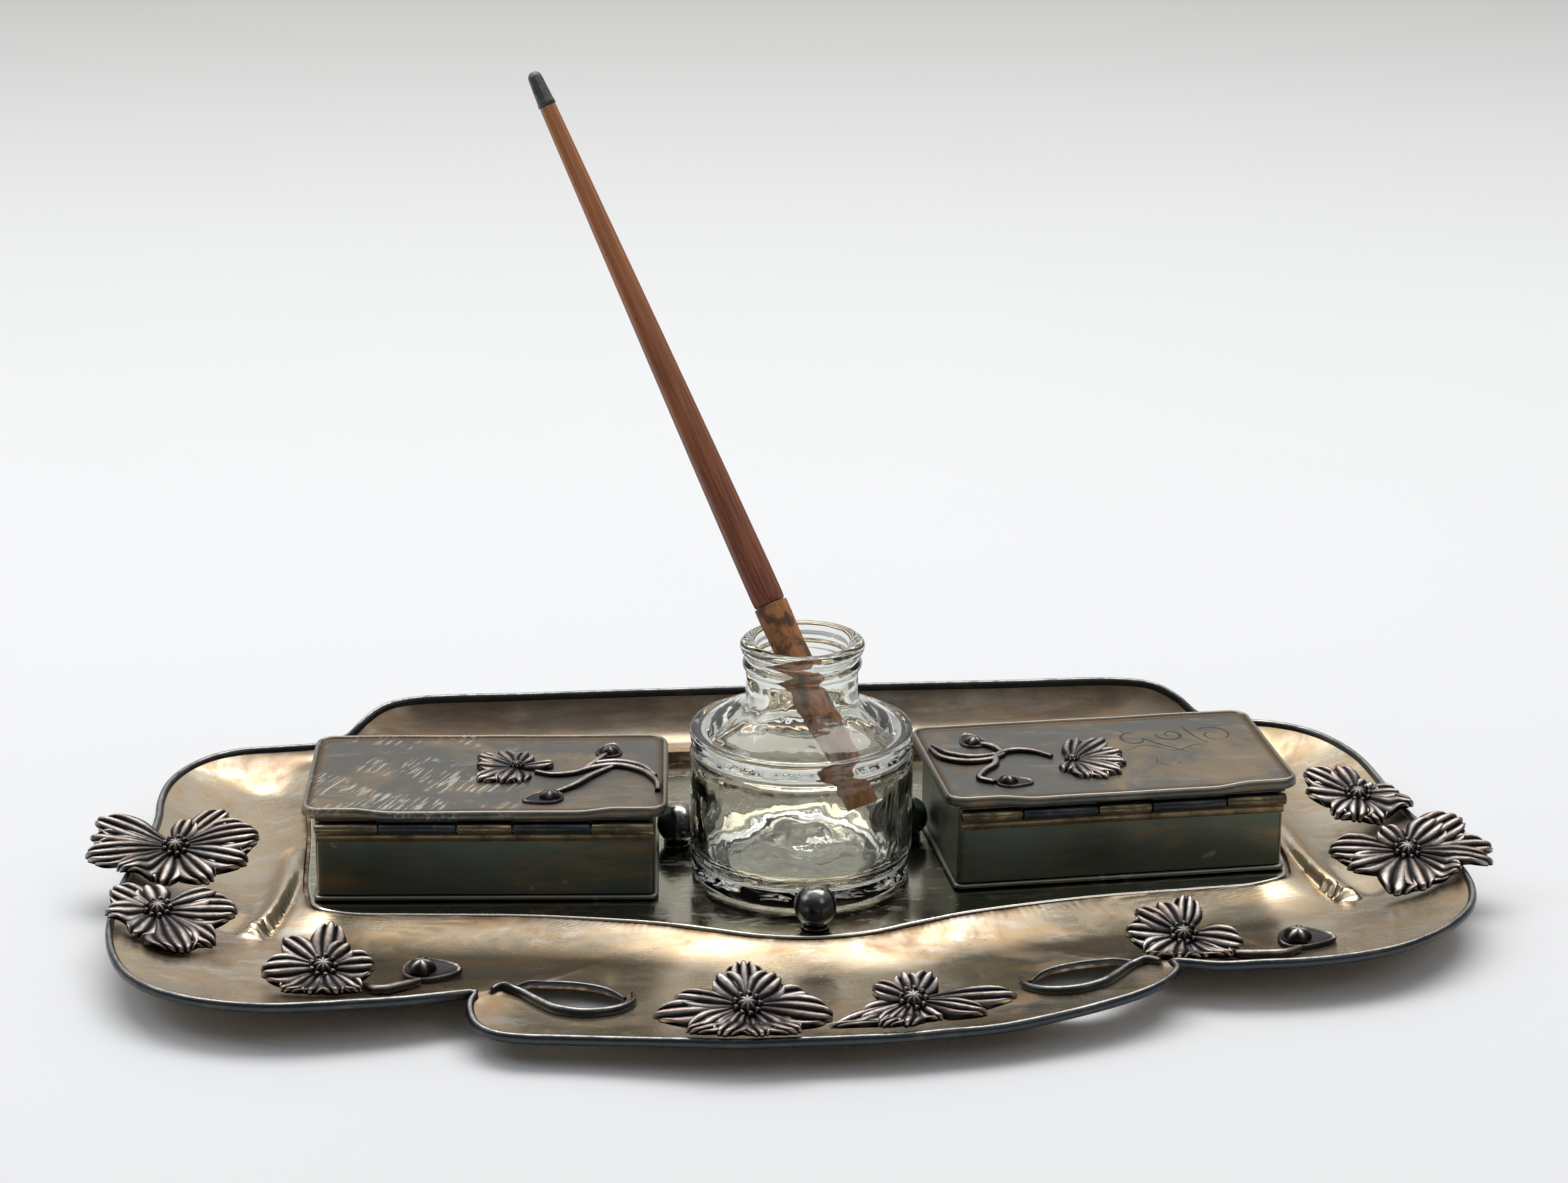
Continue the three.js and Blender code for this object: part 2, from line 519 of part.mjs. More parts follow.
// ---- Ink bottle and pen -------------------------------------------------------------------
const wellRadius = BOTTLE_RADIUS - BOTTLE_WALL;
function bottleGeometry() {
  const r = BOTTLE_RADIUS;
  const s = BOTTLE_SHOULDER_Z;
  const l = BOTTLE_LIP_Z;
  const neck = LIP_RADIUS - 1.4;
  const profile = [
    [0, GAP + 0.6], [r - 4, GAP + 0.6], [r - 3, GAP], [r - 0.8, GAP + 0.3], [r - 0.5, 5.8], [r, 6.8],
    [r, s - 5], [r - 0.5, s - 4], [r - 0.4, s - 1.2], [r, s - 0.4], [r - 0.2, s + 0.5], [r - 1.2, s + 0.8],
    [r - 2, s + 0.3], [r - 3.1, s + 1.2], [r - 5.5, s + 3], [r - 9, s + 5], [neck + 1, s + 6.6],
    [neck, s + 9], [neck, l - 5.6], [neck + 0.7, l - 4.9], [neck + 0.7, l - 3.7], [neck, l - 2.8],
    [neck, l - 1.9], [LIP_RADIUS - 0.3, l - 1], [LIP_RADIUS, l], [LIP_RADIUS - 0.5, l + 1],
    [LIP_RADIUS - 1.9, l + 1.4], [MOUTH_RADIUS + 0.5, l + 1.1], [MOUTH_RADIUS, l],
    [MOUTH_RADIUS, s + 10.5], [MOUTH_RADIUS + 1.6, s + 6.2], [mix(MOUTH_RADIUS, wellRadius, 0.55), s + 2.2],
    [wellRadius - 1.6, s - 1.8], [wellRadius, s - 5], [wellRadius, WELL_FLOOR_Z + 3],
    [wellRadius - 1.2, WELL_FLOOR_Z + 0.8], [wellRadius - 3.5, WELL_FLOOR_Z], [0, WELL_FLOOR_Z],
  ];
  return turned(profile, 24);
}

// The pen leans on the mouth on one side, and its end on the wall of the well on the other.
const leanSin = Math.sin(PEN_LEAN * RAD);
const leanCos = Math.cos(PEN_LEAN * RAD);
const penOffset = MOUTH_RADIUS - PEN_RADIUS / leanCos - GAP;
const penBelow = (penOffset + wellRadius - GAP - TENON_RADIUS * leanCos) / leanSin - 0.6;

// Pieces of the pen stand along +Z of a group, with the lip's plane at height 0.
function facetedBar(stations) {
  return ringBody(stations.map(([z, flat]) => Array.from({ length: PEN_SIDES }, (_, k) => {
    const turn = ((k + 0.5) / PEN_SIDES) * 2 * Math.PI;
    const corner = flat / Math.cos(Math.PI / PEN_SIDES);
    return new THREE.Vector3(corner * Math.cos(turn), corner * Math.sin(turn), z);
  })));
}
const penBodyTop = PEN_ABOVE - CAP_LENGTH;
const PEN_FLAT = PEN_RADIUS * Math.cos(Math.PI / PEN_SIDES);
const penTaper = (z) => mix(PEN_FLAT, PEN_TOP_RADIUS, smooth(-60, PEN_ABOVE + 60, z) ** 1.3 * 1.35);
const holderStart = TENON_ABOVE;
const holderStations = [0, 0.06, 0.25, 0.5, 0.75, 1].map((t) => {
  const z = mix(holderStart, penBodyTop, t);
  return [z, t === 0 ? PEN_FLAT - 0.4 : Math.min(PEN_FLAT, penTaper(z))];
});

// ---- Stamp boxes --------------------------------------------------------------------------
// A rectangle with round corners, drawn at a height.
function roundedLoop(length, depth, corner, z, arc = 4) {
  const points = [];
  const centres = [[1, 1], [-1, 1], [-1, -1], [1, -1]];
  centres.forEach(([sx, sy], quarter) => {
    for (let k = 0; k <= arc; k++) {
      const turn = (quarter + k / arc) * Math.PI / 2;
      points.push(new THREE.Vector3(
        sx * (length / 2 - corner) + corner * Math.cos(turn),
        sy * (depth / 2 - corner) + corner * Math.sin(turn), z));
    }
  });
  return points;
}

const WALL_CORNER = 1.6;
const floorTop = GAP + FLOOR_THICK;
function boxWallGeometry() {
  const loop = (inset, z) => roundedLoop(
    BOX_LENGTH - 2 * inset, BOX_DEPTH - 2 * inset, Math.max(WALL_CORNER - inset, 0.3), z, 3);
  const foot = floorTop + GAP;
  return ringBody([loop(0, foot), loop(0, BOX_HEIGHT), loop(BOX_WALL, BOX_HEIGHT), loop(BOX_WALL, foot)], true);
}

function boxFloorGeometry() {
  const grow = 2 * FLOOR_FLANGE;
  const loop = (inset, z) => roundedLoop(BOX_LENGTH + grow - 2 * inset, BOX_DEPTH + grow - 2 * inset, 2, z, 3);
  return ringBody([loop(0.2, GAP), loop(0, GAP + 0.3), loop(0, floorTop - 0.3), loop(0.3, floorTop)]);
}

const lidLength = BOX_LENGTH + 2 * LID_OVERHANG_X;
const lidDepth = BOX_DEPTH + 2 * LID_OVERHANG_Y;
const lidPanel = BOX_HEIGHT + GAP + LID_SHEET;   // height of the recessed panel above the plate
const lidTop = lidPanel + LID_BORDER;
function lidGeometry() {
  const loop = (inset, z) => roundedLoop(
    lidLength - 2 * inset, lidDepth - 2 * inset, Math.max(LID_CORNER - inset, 0.6), z);
  const skirtFoot = lidTop - LID_SKIRT;
  const inner = LID_SHEET;
  return ringBody([
    loop(5, lidPanel - inner), loop(inner + 1.6, lidPanel - inner), loop(inner, lidTop - LID_ROUND - inner),
    loop(inner, skirtFoot), loop(0, skirtFoot), loop(0, lidTop - LID_ROUND + 0.3), loop(0.45, lidTop - 0.35),
    loop(1.4, lidTop), loop(2.7, lidTop - 0.1), loop(3.7, lidPanel),
  ]);
}

const lidSeat = () => lidPanel;
const LID_RELIEFS = {
  left: () => join(
    blossom({ x: 6, y: 0, rx: 10.5, ry: 12.5, lobes: 7, edge: 1, crown: 3, seat: lidSeat }),
    blossom({ x: 18, y: -15, rx: 5.5, lobes: 5, edge: 1, crown: 2.4, seat: lidSeat }),
    blossom({ x: 29, y: 14, rx: 4.5, lobes: 6, edge: 1, crown: 2.4, seat: lidSeat }),
    stem([[11, 5], [18, 8], [24, 2], [32, -3], [37, -6]], 2.6, 1.6, lidSeat),
    stem([[29, 11], [28, 5], [25, -1], [20, -8], [18, -13]], 2.2, 1.4, lidSeat),
  ),
  right: () => join(
    blossom({ x: -6, y: -4, rx: 10.5, ry: 12.5, lobes: 7, edge: 1, crown: 3, seat: lidSeat }),
    blossom({ x: -28.5, y: 14, rx: 4.5, lobes: 6, edge: 1, crown: 2.4, seat: lidSeat }),
    blossom({ x: -28, y: -16, rx: 5.5, ry: 3.6, lobes: 5, edge: 1, crown: 2.2, seat: lidSeat }),
    stem([[-37, 3], [-30, 3], [-24, 6], [-18, 4], [-12, 0]], 2.6, 1.6, lidSeat),
    stem([[-28, 11], [-25, 6], [-23, 0], [-24, -8], [-27, -13]], 2.2, 1.4, lidSeat),
  ),
};

// ---- Hinge: a fixed leaf with three knuckles, a lid leaf with two, and a pin ---------------
const hingeOut = KNUCKLE_RADIUS + KNUCKLE_TO_WALL;
const hingeY = -(BOX_DEPTH / 2 + hingeOut);
const hingeZ = BOX_HEIGHT - HINGE_BELOW;
const lidKnuckle = (BOX_LENGTH - HINGE_SHORT - 2 * FIXED_END - FIXED_MIDDLE) / 2 - KNUCKLE_GAP;
const hingeEnd = FIXED_END + lidKnuckle + KNUCKLE_GAP * 1.5 + FIXED_MIDDLE / 2;
const fixedSpans = [
  [-hingeEnd, -hingeEnd + FIXED_END], [-FIXED_MIDDLE / 2, FIXED_MIDDLE / 2], [hingeEnd - FIXED_END, hingeEnd],
];
const lidSpans = [
  [-FIXED_MIDDLE / 2 - KNUCKLE_GAP - lidKnuckle, -FIXED_MIDDLE / 2 - KNUCKLE_GAP],
  [FIXED_MIDDLE / 2 + KNUCKLE_GAP, FIXED_MIDDLE / 2 + KNUCKLE_GAP + lidKnuckle],
];
const clearOfKnuckle = KNUCKLE_RADIUS + GAP;
const bore = () => bar(KNUCKLE_BORE, -hingeEnd - 1, hingeEnd + 1, hingeY, hingeZ);

function fixedLeafGeometry() {
  const inner = -BOX_DEPTH / 2 - GAP;
  const outer = inner - LEAF_THICK;
  const plate = block(-hingeEnd, hingeEnd, outer, inner, hingeZ - LEAF_DROP, hingeZ - clearOfKnuckle);
  const knuckles = fixedSpans.flatMap(([a, b]) => [
    bar(KNUCKLE_RADIUS, a, b, hingeY, hingeZ),
    block(a, b, outer, inner, hingeZ - LEAF_DROP + 0.2, hingeZ - 0.2),
  ]);
  return cut(join(plate, ...knuckles), bore());
}

function lidLeafGeometry() {
  const outer = -lidDepth / 2 + LID_SHEET + GAP;
  const inner = outer + LEAF_THICK;
  const top = lidTop - LID_ROUND - LID_SHEET - GAP;
  const plate = block(-hingeEnd, hingeEnd, outer, inner, hingeZ + clearOfKnuckle, top);
  const knuckles = lidSpans.flatMap(([a, b]) => [
    bar(KNUCKLE_RADIUS, a, b, hingeY, hingeZ),
    block(a, b, outer, inner, hingeZ + 0.2, top - 0.2),
  ]);
  return cut(join(plate, ...knuckles), bore());
}

const pinGeometry = () => bar(PIN_RADIUS, -hingeEnd - 0.2, hingeEnd + 0.2, hingeY, hingeZ, 12);

// ---- Assembly -----------------------------------------------------------------------------
function named(name, geometry, material) {
  const mesh = new THREE.Mesh(geometry, material);
  mesh.name = name;
  return mesh;
}

const stand = new THREE.Group();
stand.add(named('tray', trayGeometry, PLATED));
stand.add(named('rim_bead', beadBody(0, 6), DARK_PLATED));
stand.add(named('platform_plate', plateGeometry, MIRROR_PLATE));
for (const [end, side] of [['left', -1], ['right', 1]]) {
  stand.add(named(`${end}_tab_scroll`, scrollBody(side), DARK_PLATED));
  stand.add(named(`${end}_front_foot`, footGeometry(side * FOOT_X * xShare, FOOT_FRONT_Y * frontShare), DARK_PLATED));
  stand.add(named(`${end}_back_foot`, footGeometry(side * FOOT_X * xShare, FOOT_BACK_Y * backShare), DARK_PLATED));
}
for (const [name, build] of Object.entries(CASTINGS)) stand.add(named(name, cut(build(), aroundBead), CAST));

const onPlate = new THREE.Group();
onPlate.position.z = PLATE_TOP;
stand.add(onPlate);

const besideBox = BOTTLE_RADIUS + BOX_TO_BOTTLE - STUD_TO_BOX - STUD_RADIUS;
const studTurn = Math.acos(besideBox / studReach);
const STUD_TURNS = { front: -Math.PI / 2, right: studTurn, left: Math.PI - studTurn };
Object.entries(STUD_TURNS).forEach(([place, turn]) => {
  const stud = named(`${place}_ball_stud`, studGeometry(), DARK_PLATED);
  stud.position.set(studReach * Math.cos(turn), studReach * Math.sin(turn), 0);
  onPlate.add(stud);
});
onPlate.add(named('glass_bottle', bottleGeometry(), GLASS));

const pen = new THREE.Group();
const penTurn = PEN_TURN * RAD;
pen.position.set(penOffset * Math.cos(penTurn), penOffset * Math.sin(penTurn), BOTTLE_LIP_Z);
pen.rotation.set(0, PEN_LEAN * RAD, penTurn, 'ZYX');
pen.add(named('pen_tenon', facetedBar([
  [-penBelow, TENON_RADIUS * 0.9], [-penBelow + 1.2, TENON_RADIUS * 0.96], [holderStart - GAP, TENON_RADIUS * 0.96],
]), BARE_WOOD));
pen.add(named('pen_holder', facetedBar(holderStations), WOOD));
pen.add(named('pen_tip_cap', facetedBar([
  [penBodyTop + GAP, penTaper(penBodyTop) + 0.1], [PEN_ABOVE - 1.5, penTaper(PEN_ABOVE)],
  [PEN_ABOVE, penTaper(PEN_ABOVE) * 0.55],
]), CAP_METAL));
onPlate.add(pen);

for (const [end, side] of [['left', -1], ['right', 1]]) {
  const box = new THREE.Group();
  box.position.set(side * boxCentreX, BOX_CENTRE_Y, 0);
  box.rotation.z = side * BOX_YAW * RAD;
  box.add(named(`${end}_box_walls`, boxWallGeometry(), DARK_PLATED));
  box.add(named(`${end}_box_floor`, boxFloorGeometry(), DARK_PLATED));
  box.add(named(`${end}_hinge_fixed_leaf`, fixedLeafGeometry(), BRASSY));
  box.add(named(`${end}_hinge_pin`, pinGeometry(), DARK_PLATED));
  box.add(named(`${end}_hinge_lid_leaf`, lidLeafGeometry(), BRASSY));
  box.add(named(`${end}_lid`, lidGeometry(), LID_PLATED));
  const relief = LID_RELIEFS[end]().translate(side * (RELIEF_REACH - lidLength / 2), 0, 0);
  box.add(named(`${end}_lid_relief`, relief, CAST));
  onPlate.add(box);
}

// The frame's origin is the middle of the whole footprint, on the table.
const extent = new THREE.Box3().setFromObject(stand, true);
const middle = extent.getCenter(new THREE.Vector3());
stand.position.set(-middle.x, -middle.y, -extent.min.z);

const inkstand = new THREE.Group();
inkstand.add(stand);
export default inkstand;
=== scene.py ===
"""A desk inkstand in worn silver plate, finished round its packed frame.

Lengths are millimetres from the bottle's axis, on the table, until place() turns them into
metres of the frame. +X runs along the tray, +Y to the pen trough, +Z up.
"""
import json
import math

import bmesh
import bpy
import numpy as np
from bpy.props import FloatVectorProperty, IntProperty, PointerProperty
from mathutils import Matrix, Vector, noise


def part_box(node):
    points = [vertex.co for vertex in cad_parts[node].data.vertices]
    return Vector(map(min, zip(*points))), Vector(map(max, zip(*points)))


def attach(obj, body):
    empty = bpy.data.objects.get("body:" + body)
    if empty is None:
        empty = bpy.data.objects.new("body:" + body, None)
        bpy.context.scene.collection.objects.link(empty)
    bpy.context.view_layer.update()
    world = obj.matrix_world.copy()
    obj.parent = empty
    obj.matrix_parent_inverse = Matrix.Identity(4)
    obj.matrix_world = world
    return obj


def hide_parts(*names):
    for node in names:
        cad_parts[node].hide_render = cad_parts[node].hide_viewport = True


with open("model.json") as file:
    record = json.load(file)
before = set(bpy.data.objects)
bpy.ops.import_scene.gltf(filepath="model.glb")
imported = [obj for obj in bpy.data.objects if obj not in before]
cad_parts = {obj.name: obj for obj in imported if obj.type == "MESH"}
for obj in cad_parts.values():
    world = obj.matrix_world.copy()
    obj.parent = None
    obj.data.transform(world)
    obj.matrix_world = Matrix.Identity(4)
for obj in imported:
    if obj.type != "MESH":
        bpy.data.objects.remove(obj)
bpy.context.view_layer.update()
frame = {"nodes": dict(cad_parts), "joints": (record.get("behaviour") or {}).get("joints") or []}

bl_info = {
    "name": "Plated Inkstand",
    "version": (1, 0, 0),
    "blender": (4, 5, 0),
    "location": "3D View > Sidebar > Inkstand",
    "description": "Builds a plated desk inkstand with a glass bottle, stamp boxes and a pen",
    "category": "Object",
}

MM = 0.001
ENDS = (("left", -1), ("right", 1))


# ---- Places taken from the frame ------------------------------------------------------------
def middle(node):
    low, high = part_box(node)
    return (low + high) / 2


AXIS = middle("glass_bottle")
PLATE_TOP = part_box("platform_plate")[1].z / MM
PLATE_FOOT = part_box("platform_plate")[0].z / MM
BOTTLE_RADIUS = (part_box("glass_bottle")[1].x - AXIS.x) / MM
BOTTLE_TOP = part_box("glass_bottle")[1].z / MM - PLATE_TOP
PLATE_HALF = (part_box("platform_plate")[1].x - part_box("platform_plate")[0].x) / 2 / MM
PLATE_BACK = (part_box("platform_plate")[1].y - AXIS.y) / MM
PLATE_NOSE = (AXIS.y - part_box("platform_plate")[0].y) / MM
JOINTS = {joint["name"]: joint for joint in frame["joints"]}


def place(points):
    """Metres of the frame, from millimetres off the bottle's axis."""
    return np.asarray(points, float) * MM + np.array([AXIS.x, AXIS.y, 0.0])


def spot_of(node, z):
    """The middle of a node in plan, in millimetres off the bottle's axis, at height z."""
    centre = middle(node)
    return ((centre.x - AXIS.x) / MM, (centre.y - AXIS.y) / MM, z)


def node_points(node, origin):
    """A node's points in metres, from an origin."""
    return np.array([v.co for v in frame["nodes"][node].data.vertices]) - origin


def along_axes(origin, local, across, up, out):
    """Local points laid along three directions from an origin, all in millimetres."""
    local = np.asarray(local, float)
    return origin + local[..., :1] * across + local[..., 1:2] * up + local[..., 2:3] * out


def from_axis(origin):
    """Millimetres off the bottle's axis, from metres of the frame."""
    return (origin - np.array([AXIS.x, AXIS.y, 0])) / MM


# ---- Curves ---------------------------------------------------------------------------------
def smooth_curve(points, closed=False, per_span=20):
    """A centripetal Catmull-Rom curve through the points."""
    p = np.asarray(points, float)
    count = len(p)
    spans = []
    for i in range(count if closed else count - 1):
        if closed:
            a, b, c, d = (p[(i + k - 1) % count] for k in range(4))
        else:
            b, c = p[i], p[i + 1]
            a = p[i - 1] if i else 2 * b - c
            d = p[i + 2] if i + 2 < count else 2 * c - b
        u, v, w = (max(math.sqrt(np.linalg.norm(s)), 1e-6) for s in (b - a, c - b, d - c))
        leave = ((b - a) / u - (c - a) / (u + v) + (c - b) / v) * v
        arrive = ((c - b) / v - (d - b) / (v + w) + (d - c) / w) * v
        t = np.linspace(0, 1, per_span, endpoint=False)[:, None]
        spans.append(
            (2 * t**3 - 3 * t**2 + 1) * b + (t**3 - 2 * t**2 + t) * leave
            + (3 * t**2 - 2 * t**3) * c + (t**3 - t**2) * arrive
        )
    if not closed:
        spans.append(p[-1:])
    return np.vstack(spans)


def respaced(curve, count, closed=False):
    """The same curve as evenly spaced points."""
    path = np.vstack([curve, curve[:1]]) if closed else curve
    run = np.concatenate([[0], np.cumsum(np.linalg.norm(np.diff(path, axis=0), axis=1))])
    at = np.linspace(0, run[-1], count + 1)[:-1] if closed else np.linspace(0, run[-1], count)
    return np.stack([np.interp(at, run, path[:, k]) for k in range(path.shape[1])], 1)


def smooth(low, high, value):
    t = np.clip((value - low) / (high - low), 0, 1)
    return t * t * (3 - 2 * t)


def wobble(points, scale, seed=0.0):
    """Slow even noise from -1 to 1 at each point."""
    return np.array([noise.noise(Vector((p[0] / scale + seed, p[1] / scale, p[2] / scale))) for p in points])


# ---- Outlines of the tray and its plate -----------------------------------------------------
FRONT_RIM, WING_RIM, SHOULDER_RIM, RAIL = 8.0, 10.4, 12.0, 20.0
RIM_FRONT = (0, -91.9, FRONT_RIM)
RIM_BACK = (0, 90.2, RAIL)
RIM_RIGHT = (
    (12, -91.6, FRONT_RIM), (23, -90.3, FRONT_RIM), (34, -88.8, FRONT_RIM), (46, -85.5, 8.4),
    (57.5, -81.5, 9), (67.5, -76.5, 9.4), (74, -71, 9.6), (77.3, -65.5, 9.8), (76.8, -62.3, 9.8),
    (80, -62.3, 9.6), (87, -64.9, 9.9), (96, -65.8, WING_RIM), (105, -65.7, WING_RIM),
    (116.5, -64.1, WING_RIM), (129, -59.9, WING_RIM), (137.2, -54.6, WING_RIM),
    (144.8, -47.4, WING_RIM), (150.6, -38.8, WING_RIM), (153.8, -28, WING_RIM),
    (154, -14, WING_RIM), (152.2, 4, WING_RIM), (149.5, 20, WING_RIM), (147.9, 34, 11),
    (147, 43, 11.4), (145.4, 51, SHOULDER_RIM), (142.6, 60, SHOULDER_RIM),
    (139, 67, SHOULDER_RIM), (134.5, 72, SHOULDER_RIM), (127.5, 75.9, SHOULDER_RIM),
    (117, 78.5, SHOULDER_RIM), (110, 80.4, 13.5), (105.5, 83, 17), (100, 86, 19.4),
    (92, 88.4, RAIL), (60, 89.2, RAIL),
)
RIM_LEFT = (
    (12, -91.9, FRONT_RIM), (23, -91.7, FRONT_RIM), (35, -90, FRONT_RIM), (44, -88, 7.6),
    (53, -86, 7.2), (61, -84.4, 7), (69, -83.1, 7), (74, -81, 7), (77.6, -77.2, 7.2),
    (79.1, -72, 7.6), (79, -66.5, 8.2), (77.8, -63.8, 8.8), (81, -64.6, 9.2), (86, -66.1, 9.5),
    (94.3, -68.1, 9.8), (105, -69.7, 10.2), (114, -70.6, WING_RIM), (122.5, -70.4, WING_RIM),
    (131, -68.7, WING_RIM), (140, -65, WING_RIM), (148, -59.2, WING_RIM),
    (153.8, -51.4, WING_RIM), (157.3, -41.5, WING_RIM), (159, -30, WING_RIM),
    (159, -16, WING_RIM), (157.4, 0, WING_RIM), (154.6, 16, WING_RIM),
    (152.2, 28, WING_RIM + 0.4), (151.3, 38, 11), (151.2, 47, 11.4), (149.8, 56, SHOULDER_RIM),
    (146.2, 65.5, SHOULDER_RIM), (140.2, 73.2, SHOULDER_RIM), (133, 77, SHOULDER_RIM),
    (123, 78.4, SHOULDER_RIM), (112, 79, 12.4), (106, 80.3, 14), (102, 82.7, 17),
    (97.5, 86, 19.2), (91, 88.6, RAIL), (60, 89.8, RAIL),
)


def plate_side():
    half, nose, back = PLATE_HALF, PLATE_NOSE, PLATE_BACK
    return [
        (half * 0.11, 1.9 - nose), (half * 0.2, 6 - nose), (half * 0.3, 10.5 - nose),
        (half * 0.42, 14 - nose), (half * 0.58, 17.5 - nose), (half * 0.79, 20 - nose),
        (half * 0.92, 22 - nose), (half - 2, 26 - nose), (half, 34.5 - nose), (half, 30),
        (half, back - 12), (half - 3, back - 3), (half - 12, back), (half * 0.42, back),
    ]


def both_sides(front, right, back, left):
    mirrored = [(-p[0], *p[1:]) for p in reversed(left)]
    return np.array([front, *right, back, *mirrored], float)


RIM_CURVE = smooth_curve(both_sides(RIM_FRONT, RIM_RIGHT, RIM_BACK, RIM_LEFT), closed=True)
PLATE_CURVE = smooth_curve(
    both_sides((0, -PLATE_NOSE), plate_side(), (0, PLATE_BACK), plate_side()), closed=True)


def reach_table(curve):
    """Distance from the axis, and height if there is one, of a curve in any direction."""
    angle = np.arctan2(curve[:, 1], curve[:, 0])
    order = np.argsort(angle)
    reach = np.hypot(curve[:, 0], curve[:, 1])[order]
    height = curve[order, 2] if curve.shape[1] > 2 else reach * 0
    angle = angle[order]
    return lambda a: (np.interp(a, angle, reach, period=2 * np.pi),
                      np.interp(a, angle, height, period=2 * np.pi))


rim_at = reach_table(RIM_CURVE)
plate_at = reach_table(PLATE_CURVE)

# ---- Shape of the tray ----------------------------------------------------------------------
SHEET = 1.2
PLINTH_MARGIN = 0.8
CREASE_Z = PLATE_TOP - 0.3
PLINTH_Z = PLATE_FOOT - 0.3
CHANNEL_Z, TROUGH_Z, TROUGH_LIP_Z = 4.2, 8.6, 10.3
FALL_WIDTH = 14.5
CREST = ((116, 30), (117, 16), (118.5, 2), (121.5, -11), (127, -23))


def distance_to(path, x, y):
    """Signed distance from a line (positive outside it, away from the axis) and share along it."""
    line = respaced(smooth_curve(path), 60)
    dx = x[..., None] - line[:, 0]
    dy = y[..., None] - line[:, 1]
    nearest = np.argmin(dx**2 + dy**2, axis=-1)
    pick = np.take_along_axis
    near_x = pick(dx, nearest[..., None], -1)[..., 0]
    near_y = pick(dy, nearest[..., None], -1)[..., 0]
    return np.hypot(near_x, near_y) * np.where(near_x > 0, 1, -1), nearest / (len(line) - 1)


def beyond_plate(x, y):
    """Distance from the plate's edge, for places outside it."""
    edge = respaced(PLATE_CURVE, 360, closed=True)
    flat = np.stack([np.ravel(x), np.ravel(y)], 1)
    near = [np.min(np.hypot(*(part[:, None] - edge[None]).T), axis=0) for part in np.array_split(flat, 40)]
    return np.concatenate(near).reshape(np.shape(x))


def wing_relief(x, y):
    """The rolled crest beside each stamp box, with a groove inside it and a hollow outside."""
    away, along = distance_to(CREST, np.abs(x), y)
    fade = smooth(0, 0.25, along) * smooth(1.0, 0.93, along)
    crest = (1.6 + 1.2 * along) * np.exp(-((away - 2.4) / 2.6) ** 2)
    groove = -1.3 * smooth(0.25, 0.9, along) * np.exp(-((away + 0.9) / 1.0) ** 2)
    hollow = -1.2 * smooth(0.3, 1, along) * np.exp(-((away - 8.5) / 3.6) ** 2)
    return (crest + groove + hollow) * fade


def tray_profile(angle, share):
    """Height of the tray between the plinth (share 0) and the rim (share 1)."""
    edge = plate_at(angle)[0] + PLINTH_MARGIN
    behind = smooth(PLATE_BACK - 14, PLATE_BACK - 1, np.sin(angle) * edge)
    start = CREASE_Z + (TROUGH_LIP_Z - CREASE_Z) * behind
    floor = CHANNEL_Z + (TROUGH_Z - CHANNEL_Z) * behind
    rim = rim_at(angle)[1]
    reach = edge + (rim_at(angle)[0] - edge) * share
    x, y = reach * np.cos(angle), reach * np.sin(angle)
    fall = (start - floor) * np.maximum(0, 1 - (beyond_plate(x, y) - PLINTH_MARGIN) / FALL_WIDTH) ** 1.6
    rise = (rim - floor) * np.maximum(0, (share - 0.22) / 0.78) ** 2.2
    relief = wing_relief(x, y) * smooth(1.0, 0.8, share)
    return np.where(share < 0.004, PLINTH_Z, floor + fall + rise + relief)


def tray_height(x, y):
    angle = np.arctan2(y, x)
    inner = plate_at(angle)[0] + PLINTH_MARGIN
    share = (np.hypot(x, y) - inner) / (rim_at(angle)[0] - inner)
    return np.where(share <= 0, PLATE_TOP, tray_profile(angle, np.clip(share, 0, 1)))


def seat_height(x, y):
    """Surface that a casting lies on: the tray, then the rim's bead, then a droop outside it."""
    reach, rim_z = rim_at(np.arctan2(y, x))
    out = np.hypot(x, y) - reach
    on_bead = smooth(-6, -1.5, out)
    droop = 0.25 * np.maximum(0, out - 1.6)
    return (tray_height(x, y) + 0.1) * (1 - on_bead) + (rim_z + 0.8) * on_bead - droop


# ---- Shells: closed skins of points, faces, and a value for rubbing and painted light -------
class Shell:
    """A closed skin. Wear is 1 on rubbed high spots and 0 in hollows."""

    def __init__(self, points, faces, wear_and_light=None):
        self.points = np.asarray(points, float)
        self.faces = faces
        self.wear_and_light = np.full(len(self.points), 0.5) if wear_and_light is None else np.asarray(wear_and_light, float)

    def outward(self):
        """Turns the faces outwards, by the sign of the volume they hold."""
        six = 0.0
        p = self.points - self.points.mean(axis=0)
        for face in self.faces:
            for k in range(1, len(face) - 1):
                six += np.dot(p[face[0]], np.cross(p[face[k]], p[face[k + 1]]))
        if six < 0:
            self.faces = [tuple(reversed(face)) for face in self.faces]
        return self


